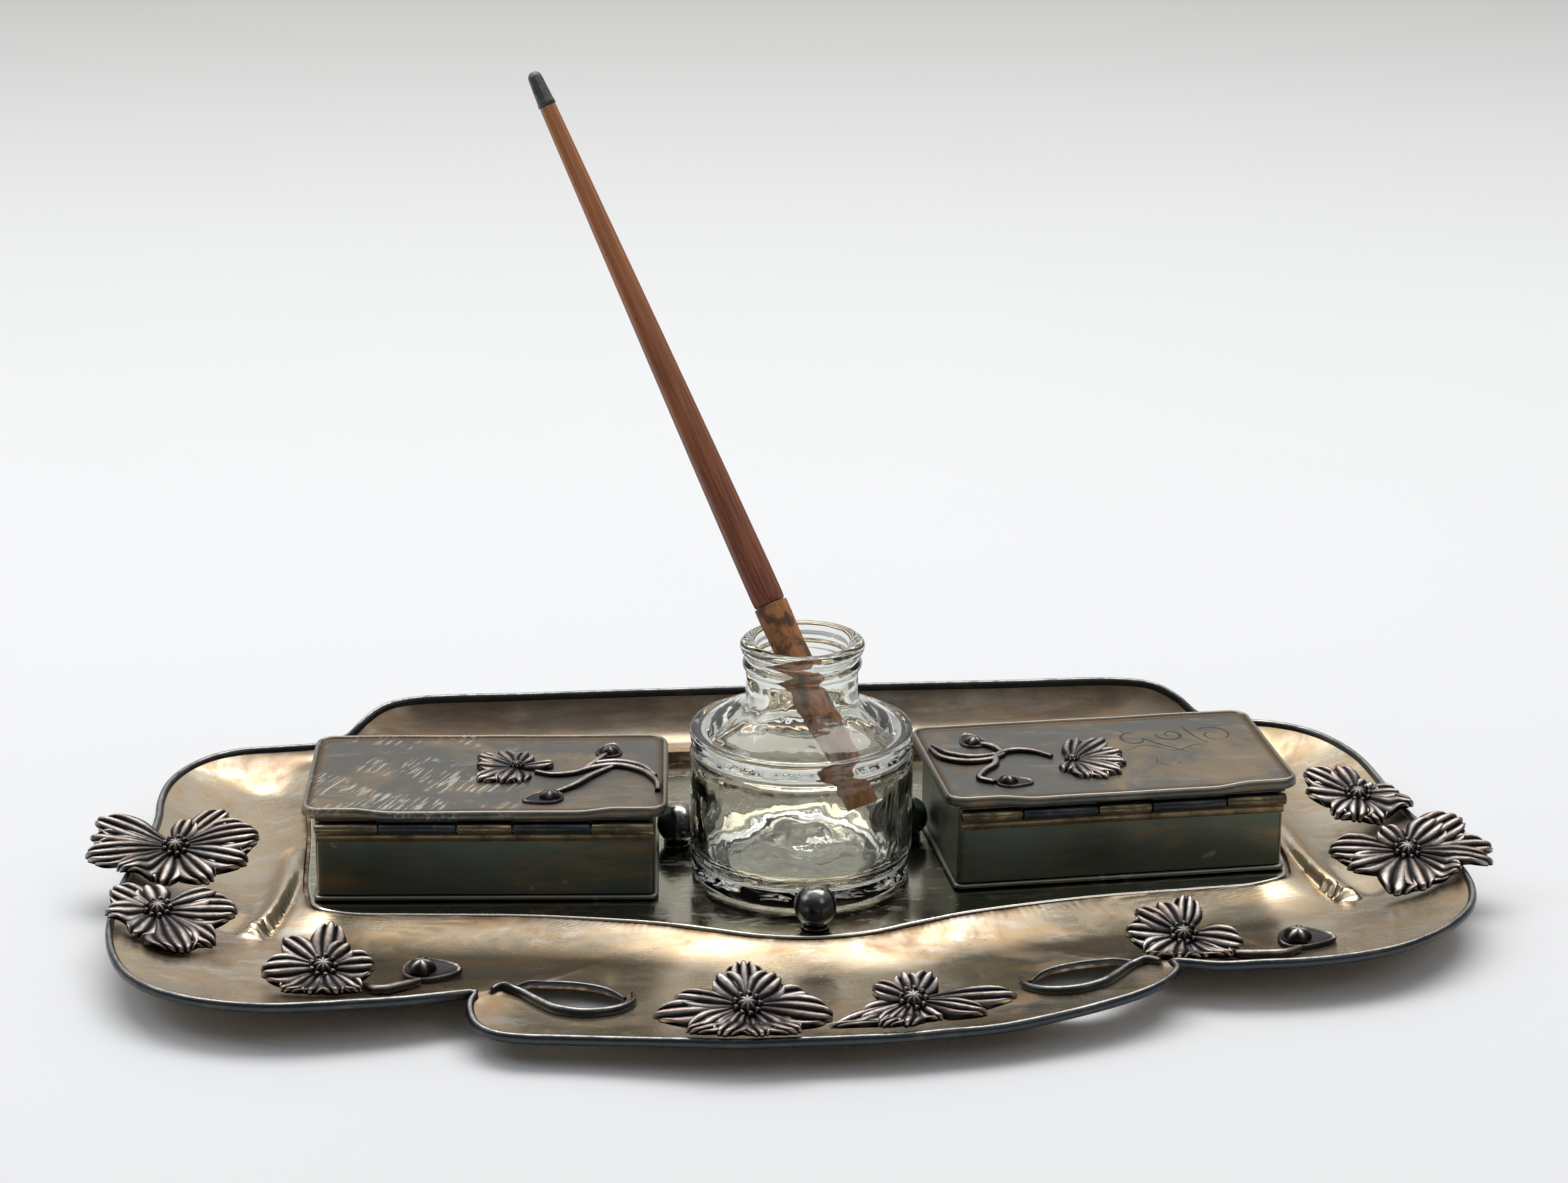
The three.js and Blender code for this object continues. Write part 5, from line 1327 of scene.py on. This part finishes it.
def build_hinges():
    for end, _ in ENDS:
        box = BoxFrame(end)
        y, z = box.hinge_y, box.hinge_z
        fixed_low, fixed_high = box.span(f"{end}_hinge_fixed_leaf")
        lid_low, lid_high = box.span(f"{end}_hinge_lid_leaf")
        radius, bore = 1.4, 0.85
        length = fixed_high[0] - fixed_low[0]
        end_piece, mid_piece, gap = 14.2, 12.4, 0.4
        lid_piece = (length - 2 * end_piece - mid_piece) / 2 - 2 * gap
        starts = [fixed_low[0], fixed_low[0] + end_piece + gap, -mid_piece / 2, mid_piece / 2 + gap,
                  fixed_high[0] - end_piece]
        spans = [end_piece, lid_piece, mid_piece, lid_piece, end_piece]
        groups = {"fixed": [], "lid": []}
        for k, (start, span) in enumerate(zip(starts, spans)):
            turn = np.arange(20) / 20 * 2 * np.pi
            rings = []
            for r, x in ((bore, 0), (radius - 0.15, 0), (radius, 0.15), (radius, span - 0.15),
                         (radius - 0.15, span), (bore, span)):
                rings.append([(start + x, y + r * math.cos(a), z + r * math.sin(a)) for a in turn])
            tube = ring_shell(box.world(np.array(rings)), looped=True)
            groups["lid" if k % 2 else "fixed"].append(tube)
        for part, low, high, body in (("fixed", fixed_low, fixed_high, "root"),
                                      ("lid", lid_low, lid_high, f"{end}_lid")):
            if part == "fixed":
                y0, y1, z0, z1 = y + 0.6, y + 1.2, low[2], z - 1.7
            else:
                y0, y1, z0, z1 = y + 0.3, y + 0.9, z + 1.7, high[2]
            strip = [rounded_loop((low[0], y0), (high[0], y1), i, 0.25, h, 3)
                     for i, h in ((0.12, z0), (0, z0 + 0.12), (0, z1 - 0.12), (0.12, z1))]
            groups[part].append(ring_shell([box.world(r) for r in strip]))
            for k, (start, span) in enumerate(zip(starts, spans)):
                if (k % 2 == 1) == (part == "lid"):
                    z2, z3 = (z + 0.3, z1 - 0.1) if part == "lid" else (z0 + 0.1, z - 0.3)
                    web = [rounded_loop((start, y0), (start + span, y1), 0.05, 0.2, h, 3) for h in (z2, z3)]
                    groups[part].append(ring_shell([box.world(r) for r in web]))
            look = finish("brass") if part == "fixed" else finish("rim")
            piece = mesh_piece(f"{end}_hinge_{part}_barrels", groups[part], look, 45)
            hand_over(piece, body, "hinge_brass", f"{end}_hinge_{part}_leaf")
        low, high = box.span(f"{end}_hinge_pin")
        line = box.world([(x, y, z) for x in np.linspace(low[0], high[0], 12)])
        pin = bead_piece(f"{end}_hinge_wire", [(np.column_stack([line, np.ones(12)]), False)], 0.5, 0.5, 16,
                         finish("rim"))
        hand_over(pin, "root", "dark_plate", f"{end}_hinge_pin")


# ---- Bottle ---------------------------------------------------------------------------------
BOTTLE_WALL = 3.6
SEAM_ANGLES, SEAM_SPREAD = (277, 97), 0.022


def build_bottle():
    """A moulded bottle: foot, body, two rings at the shoulder, collar and mouth, then its inside."""
    r, top, z0 = BOTTLE_RADIUS, BOTTLE_TOP, PLATE_TOP
    lip = top - 1.4
    s = lip - 20.9
    neck, lip_r, mouth, floor = 13.1, 14.5, 10.7, 5.0
    well = r - BOTTLE_WALL
    foot = [(0.05, 1.3), (r - 9, 1.1), (r - 5, 0.7), (r - 3.4, 0.3), (r - 1.8, 0.3), (r - 0.8, 0.9),
            (r - 0.55, 2.2), (r - 0.6, 4.6), (r - 0.9, 5.2), (r - 0.5, 5.9), (r - 0.05, 6.9), (r, 8.5)]
    rings_at_shoulder = [(r, s - 7), (r, s - 5.2), (r - 0.5, s - 4.4), (r - 0.7, s - 3.8), (r - 0.35, s - 3),
                         (r - 0.1, s - 1.6), (r, s - 0.4), (r - 0.2, s + 0.5), (r - 0.8, s + 0.95),
                         (r - 1.5, s + 0.8), (r - 2.1, s + 0.35), (r - 2.8, s + 0.7), (r - 3.4, s + 1.4)]
    shoulder = [(r - 4.4, s + 2.1), (r - 6.5, s + 3.3), (r - 9, s + 4.7), (r - 10.7, s + 5.6),
                (neck + 1, s + 6.7), (neck + 0.2, s + 8.2), (neck, s + 10)]
    collar = [(neck, lip - 6.6), (neck + 0.15, lip - 5.6), (neck + 0.7, lip - 4.9), (neck + 0.8, lip - 4.2),
              (neck + 0.6, lip - 3.5), (neck + 0.05, lip - 2.9), (neck + 0.05, lip - 2.2)]
    mouth_ring = [(neck + 0.6, lip - 1.5), (lip_r - 0.3, lip - 1), (lip_r, lip), (lip_r - 0.35, lip + 0.8),
                  (lip_r - 1.2, lip + 1.3), (lip_r - 2.1, lip + 1.35)]
    outside = foot + rings_at_shoulder + shoulder + collar + mouth_ring
    inside = [(mouth + 0.8, lip + 1.2), (mouth + 0.25, lip + 0.7), (mouth, lip), (mouth, s + 14),
              (mouth, s + 10.5), (mouth + 1.6, s + 6.2), (mouth * 0.45 + well * 0.55, s + 2.2),
              (well - 1.6, s - 1.8), (well, s - 5), (well, 19), (well, floor + 6), (well - 0.1, floor + 3),
              (well - 1.2, floor + 0.8), (well - 3.5, floor), (well - 9, floor - 0.2), (0.05, floor - 0.3)]
    fine = respaced(smooth_curve(outside, per_span=6), 150)
    bore = respaced(smooth_curve(inside, per_span=8), 80)
    sides = 144
    turn = np.arange(sides) / sides * 2 * np.pi
    rings = []
    off_seam = [(turn - math.radians(at) + np.pi) % (2 * np.pi) - np.pi for at in SEAM_ANGLES]
    seam = sum(np.exp(-((off / SEAM_SPREAD) ** 2)) for off in off_seam)
    for row, (radius, z) in enumerate(np.vstack([fine, bore])):
        circle = np.stack([np.cos(turn), np.sin(turn), 0 * turn], 1)
        if row < len(fine):
            wave = 0.10 * wobble(circle * radius + [0, 0, z], 13, 2)
            ridge = 0.14 * seam * smooth(s - 2, s + 4, z)
            out = radius + (wave + ridge) * smooth(2, 12, radius)
        else:
            wave = 0.5 * wobble(circle * radius + [0, 0, z * 0.7], 8, 5)
            wave += 0.14 * wobble(circle * radius + [0, 0, z], 3.4, 8)
            fade = float(smooth(3, 10, radius) * smooth(lip - 6, lip - 14, z))
            out = radius + wave * fade
        rings.append(np.stack([out * np.cos(turn), out * np.sin(turn), np.full(sides, z0 + z)], 1))
    piece = mesh_piece("moulded_bottle", [ring_shell(rings)], finish("glass"), 80)
    hand_over(piece, "bottle", "bottle_glass", "glass_bottle")


# ---- Pen ------------------------------------------------------------------------------------
class PenFrame:
    """The pen's own axes, from the way that it draws out of the bottle."""

    def __init__(self):
        self.ahead = np.array(JOINTS["pen_draw"]["axis"])
        self.origin = node_points("pen_holder", np.zeros(3)).mean(axis=0)
        level = np.cross([0, 0, 1], self.ahead)
        self.side = level / np.linalg.norm(level)
        self.up = np.cross(self.ahead, self.side)

    def span(self, node):
        along = node_points(node, self.origin) @ self.ahead / MM
        return along.min(), along.max()

    def radius(self, node, share):
        """Half width of a node over its flats, at a share of its length."""
        co = node_points(node, self.origin)
        along = co @ self.ahead / MM
        off = np.linalg.norm(co - np.outer(co @ self.ahead, self.ahead), axis=1) / MM
        low, high = along.min(), along.max()
        levels = sorted({round(float(a), 2) for a in along})
        rims = [(a, float(off[np.abs(along - a) < 0.05].max())) for a in levels]
        at = low + (high - low) * share
        return float(np.interp(at, [a for a, _ in rims], [o for _, o in rims])) * math.cos(math.pi / 8)

    def world(self, local):
        return along_axes(from_axis(self.origin), local, self.side, self.up, self.ahead)


def eight_sided(flat, corner_round):
    """An eight-sided section with eased corners: points and how near each is to a corner."""
    turn = np.arange(96) / 96 * 2 * np.pi
    off = (turn + np.pi / 8) % (np.pi / 4) - np.pi / 8
    sharp = flat / np.cos(off)
    radius = np.minimum(sharp, flat * (1 + corner_round))
    near = smooth(0.62, 0.98, np.abs(off) / (np.pi / 8))
    return turn, radius, near


def pen_stretch(pen, node, name, look, stations, slot, worn_and_lit):
    """One faceted stretch of the pen from its stations of (share, half width)."""
    low, high = pen.span(node)
    rings, wear_and_light = [], []
    for share, flat in stations:
        turn, radius, near = eight_sided(flat, 0.055)
        z = low + (high - low) * share
        facing = turn + np.pi / 8
        rings.append(np.stack([radius * np.cos(facing), radius * np.sin(facing), 0 * turn + z], 1))
        wear_and_light.append(near * worn_and_lit(share) + 0.4 * float(smooth(0.35, 1.0, share)))
    shell = ring_shell(rings, wear_and_light=wear_and_light)
    local = shell.points.copy()
    shell.points = pen.world(shell.points)
    piece = mesh_piece(name, [shell], look, 30)
    grain = piece.data.attributes.new("along", "FLOAT_VECTOR", "POINT")
    grain.data.foreach_set("vector", local.ravel())
    return hand_over(piece, "pen", slot, node)


def build_pen():
    pen = PenFrame()
    shares = np.concatenate([[0, 0.004, 0.012], np.linspace(0.03, 1, 70)])
    body = []
    for share in shares:
        flat = pen.radius("pen_holder", max(share, 0.07))
        body.append((share, flat * (0.93 if share == 0 else 0.985 if share < 0.01 else 1)))
    pen_stretch(pen, "pen_holder", "pen_shaft", finish("wood"), body, "pen_wood",
                lambda share: 0.45 + 0.55 * smooth(0.25, 1.0, share) + 0.4 * smooth(0.03, 0.0, share))
    base = pen.radius("pen_tenon", 0.5)
    stub = [(share, base * (0.97 + 0.02 * math.sin(share * 21) - 0.05 * smooth(0.1, 0, share)))
            for share in np.linspace(0, 1, 30)]
    pen_stretch(pen, "pen_tenon", "pen_stub", finish("bare_wood"), stub, "bare_wood", lambda share: 0.5)
    start = pen.radius("pen_tip_cap", 0)
    cap = [(0, start), (0.02, start * 1.03), (0.1, start * 1.03), (0.14, start * 0.98)]
    cap += [(share, start * (1 - 0.22 * share)) for share in np.linspace(0.2, 0.8, 8)]
    cap += [(0.8 + 0.2 * math.sin(a), start * 0.82 * (0.3 + 0.7 * math.cos(a)))
            for a in np.linspace(0.2, 1.45, 8)]
    pen_stretch(pen, "pen_tip_cap", "pen_cap_metal", finish("cap"), cap, "pen_cap", lambda share: 0.5)


# ---- Stage ----------------------------------------------------------------------------------
def area_light(name, spot, aim, size, power, colour=(1, 1, 1)):
    lamp = bpy.data.lights.new(name, "AREA")
    lamp.shape = "RECTANGLE"
    lamp.size, lamp.size_y = size
    lamp.energy = power
    lamp.color = colour
    thing = link(bpy.data.objects.new(name, lamp))
    thing.location = spot
    thing.rotation_euler = (Vector(aim) - Vector(spot)).to_track_quat("-Z", "Y").to_euler()


BRIGHTEST_SKY = (0.0, 0.5, 0.87)


def studio_air():
    """Soft white surroundings that fall away to dark below and on the viewer's side."""
    world = bpy.data.worlds.new("studio_air")
    bpy.context.scene.world = world
    world.use_nodes = True
    tree = world.node_tree
    where = tree.nodes.new("ShaderNodeTexCoord").outputs["Generated"]
    lean = add_node(tree, "ShaderNodeVectorMath", {"operation": "DOT_PRODUCT"})
    tree.links.new(where, lean.inputs[0])
    lean.inputs[1].default_value = BRIGHTEST_SKY
    spread = add_node(tree, "ShaderNodeMapRange", Value=lean.outputs["Value"], From_Min=-1.0, From_Max=1.0,
                      To_Min=0.0, To_Max=1.0)
    ramp = tree.nodes.new("ShaderNodeValToRGB")
    stops = ((0.0, (0.05, 0.055, 0.06)), (0.5, (0.10, 0.105, 0.11)), (0.66, (0.17, 0.175, 0.18)),
             (0.77, (0.45, 0.455, 0.46)), (0.88, (0.66, 0.67, 0.67)), (1.0, (1.0, 1.0, 0.99)))
    for position, _ in stops[1:-1]:
        ramp.color_ramp.elements.new(position)
    for element, (position, colour) in zip(ramp.color_ramp.elements, stops):
        element.position = position
        element.color = (*colour, 1)
    tree.links.new(spread.outputs[0], ramp.inputs[0])
    tree.links.new(ramp.outputs[0], tree.nodes["Background"].inputs["Color"])
    tree.nodes["Background"].inputs["Strength"].default_value = 1.0


CAMERA_SPOT = (-90.97, -863.36, 378.5)
CAMERA_YAW, CAMERA_PITCH, CAMERA_ROLL = 0.100, 0.334, -0.007
CAMERA_LENS = 91.84


def build_camera():
    yaw, pitch, roll = CAMERA_YAW, CAMERA_PITCH, CAMERA_ROLL
    ahead = Vector((math.sin(yaw) * math.cos(pitch), math.cos(yaw) * math.cos(pitch), -math.sin(pitch)))
    right = Vector((math.cos(yaw), -math.sin(yaw), 0))
    down = ahead.cross(right)
    level = right * math.cos(roll) + down * math.sin(roll)
    lower = down * math.cos(roll) - right * math.sin(roll)
    data = bpy.data.cameras.new("view")
    data.lens, data.sensor_width, data.sensor_fit = CAMERA_LENS, 36, "HORIZONTAL"
    data.clip_start, data.clip_end = 0.05, 20
    camera = link(bpy.data.objects.new("view", data))
    turn = Matrix((level, -lower, -ahead)).transposed().to_4x4()
    camera.matrix_world = Matrix.Translation(Vector(place(CAMERA_SPOT))) @ turn
    bpy.context.scene.camera = camera


def build_floor():
    mesh = bpy.data.meshes.new("studio_floor")
    reach = 6.0
    mesh.from_pydata([(-reach, -reach, 0), (reach, -reach, 0), (reach, reach, 0), (-reach, reach, 0)], [],
                     [(0, 1, 2, 3)])
    mesh.materials.append(finish("floor"))
    link(bpy.data.objects.new("studio_floor", mesh))


def build_stage():
    build_floor()
    studio_air()
    area_light("softbox", (0.05, 0.58, 1.38), (0, 0, 0), (1.8, 0.8), 19.0, (1.0, 0.98, 0.94))
    area_light("window", (-1.1, 0.1, 1.0), (0, 0, 0), (0.6, 0.6), 3.0, (0.97, 0.99, 1.0))
    area_light("fill", (0.8, -0.9, 1.1), (0, 0, 0), (0.6, 0.6), 1.6, (1.0, 0.98, 0.95))
    build_camera()
    scene = bpy.context.scene
    scene.view_settings.view_transform = "Standard"
    scene.view_settings.exposure = 0.0


# ---- Settings, operators and panel ----------------------------------------------------------
def colour_setting(name, description, default):
    return FloatVectorProperty(name=name, description=description, default=default, size=3, min=0, max=1,
                               subtype="COLOR")


class InkstandSizes(bpy.types.PropertyGroup):
    """Sizes and counts that a user would change."""

    rim_steps: IntProperty(name="Rim Steps", description="Steps round the tray's rim", default=640, min=100)


class InkstandColours(bpy.types.PropertyGroup):
    """Colours of the finishes."""

    silver: colour_setting("Silver", "Worn silver plate of the tray", (0.54, 0.46, 0.35))
    pale_silver: colour_setting("Pale Silver", "Scuffed flecks of paler plate", (0.68, 0.66, 0.60))
    gilt: colour_setting("Gilt", "Warm streaks in the plate", (0.50, 0.35, 0.19))
    # Also the painted highlight on the lids' raised borders.
    lid_edge: colour_setting("Lid Edge", "Rubbed borders of the lids and boxes", (0.27, 0.255, 0.22))
    lid_gold: colour_setting("Lid Gold", "Golden patches of the lids", (0.27, 0.20, 0.12))
    thin_brown: colour_setting("Thin Plate", "Brown where the plate is thin", (0.24, 0.15, 0.09))
    tarnish: colour_setting("Tarnish", "Dark tarnish", (0.060, 0.055, 0.050))
    # Also the painted dark reflection on the upper back rail.
    tarnish_brown: colour_setting("Brown Tarnish", "Brown tarnish on dark plate", (0.16, 0.13, 0.10))
    # Also the painted shade in the tray's crease and rim, and in the lids' groove and underside.
    dirt_and_shade: colour_setting("Dirt", "Polish and dirt in the corners", (0.10, 0.055, 0.03))
    mirror: colour_setting("Mirror", "Bright plate under the boxes", (0.36, 0.33, 0.25))
    # Also the painted highlight on the plate's edge and on the tops of beads and studs.
    bright_edge: colour_setting("Bright Edge", "Edges that are rubbed bright", (0.78, 0.74, 0.68))
    rim_dark: colour_setting("Rim", "Tarnished rim", (0.060, 0.068, 0.072))
    stud_dark: colour_setting("Stud", "Tarnished ball studs and feet", (0.13, 0.14, 0.14))
    box_green: colour_setting("Box", "Blackened green of the box walls", (0.15, 0.19, 0.165))
    box_brown: colour_setting("Box Streaks", "Brown streaks on the box walls", (0.30, 0.25, 0.165))
    lid_grey: colour_setting("Lid", "Dull grey plate of the lids", (0.13, 0.127, 0.115))
    cast_dark: colour_setting("Cast Hollows", "Dark hollows of the castings", (0.032, 0.030, 0.032))
    # The bright ridges are rubbed metal and a painted highlight.
    cast_bright: colour_setting("Cast Ridges", "Bright ridges of the castings", (0.40, 0.36, 0.34))
    cast_rose: colour_setting("Cast Rose", "Warm ridges of the castings", (0.27, 0.21, 0.18))
    hinge_brass: colour_setting("Hinge", "Worn brass of the hinges", (0.27, 0.22, 0.13))
    glass: colour_setting("Glass", "Tint of the bottle", (0.955, 0.965, 0.935))
    wood_dark: colour_setting("Wood Dark", "Dark grain of the pen", (0.125, 0.034, 0.018))
    wood_red: colour_setting("Wood Red", "Red brown of the pen", (0.26, 0.078, 0.033))
    wood_light: colour_setting("Wood Light", "Rubbed wood", (0.48, 0.19, 0.065))
    bare_wood: colour_setting("Bare Wood", "Bare end of the pen", (0.30, 0.13, 0.04))
    ink: colour_setting("Ink", "Ink stains", (0.012, 0.010, 0.010))
    cap_metal: colour_setting("Cap", "Metal cap of the pen", (0.12, 0.125, 0.125))
    engraved: colour_setting("Engraving", "Lines cut in the lid", (0.045, 0.045, 0.04))
    floor: colour_setting("Floor", "Studio floor", (0.70, 0.71, 0.735))
    # Painted shade of the light falling away, greener in tone.
    floor_far: colour_setting("Far Floor", "Studio floor far behind", (0.47, 0.485, 0.455))


def step_operator(idname, label, about, builders):
    """One operator that runs builders in turn. An error in one stops the script."""

    def execute(self, context):
        for builder in builders:
            builder()
        return {"FINISHED"}

    return type(
        "INKSTAND_OT_" + idname, (bpy.types.Operator,),
        {"bl_idname": "inkstand." + idname, "bl_label": label, "__doc__": about, "execute": execute})


class INKSTAND_OT_node_trees(bpy.types.Operator):
    """Make the node trees that the beads and the repeated pieces use"""

    bl_idname = "inkstand.node_trees"
    bl_label = "Node Trees"

    def execute(self, context):
        TREES["bead"] = bead_tree()
        TREES["repeat"] = repeat_tree()
        return {"FINISHED"}


STEPS = [
    ("tray", "Tray", "Press the tray and cut its two slits", [build_tray]),
    ("rim", "Rim", "Wire the rim and curl the beads beside the slits", [build_rim_bead, build_slit_beads]),
    ("plate", "Plate", "Lay the bright plate", [build_plate]),
    ("feet", "Feet", "Stand the tray on button feet", [build_feet]),
    ("studs", "Ball Studs", "Set the three ball studs round the bottle", [build_studs]),
    ("flowers", "Flowers", "Cast the flowers, leaves and buds of the tray", [build_flowers]),
    ("boxes", "Boxes", "Fold the stamp boxes", [build_boxes]),
    ("lids", "Lids", "Press the lids, with their reliefs and engraving",
     [build_lids, build_lid_reliefs, build_engraving]),
    ("hinges", "Hinges", "Roll the hinges and run their pins", [build_hinges]),
    ("bottle", "Bottle", "Mould the glass bottle", [build_bottle]),
    ("pen", "Pen", "Shape the pen, its bare end and its cap", [build_pen]),
    ("stage", "Stage", "Set the floor, the lights and the camera", [build_stage]),
]
OPERATORS = [INKSTAND_OT_node_trees] + [step_operator(*step) for step in STEPS]


class INKSTAND_PT_panel(bpy.types.Panel):
    """Lists the steps that build the inkstand"""

    bl_idname = "INKSTAND_PT_panel"
    bl_label = "Inkstand"
    bl_space_type = "VIEW_3D"
    bl_region_type = "UI"
    bl_category = "Inkstand"

    def draw(self, context):
        for operator in OPERATORS:
            self.layout.operator(operator.bl_idname)
        self.layout.prop(context.scene.inkstand_sizes, "rim_steps")


CLASSES = [InkstandSizes, InkstandColours, *OPERATORS, INKSTAND_PT_panel]


def register():
    for cls in CLASSES:
        bpy.utils.register_class(cls)
    bpy.types.Scene.inkstand_sizes = PointerProperty(type=InkstandSizes)
    bpy.types.Scene.inkstand_colours = PointerProperty(type=InkstandColours)


def unregister():
    del bpy.types.Scene.inkstand_colours
    del bpy.types.Scene.inkstand_sizes
    for cls in reversed(CLASSES):
        bpy.utils.unregister_class(cls)


def main():
    register()
    for operator in OPERATORS:
        getattr(bpy.ops.inkstand, operator.bl_idname.split(".")[1])()


if __name__ == "__main__":
    main()
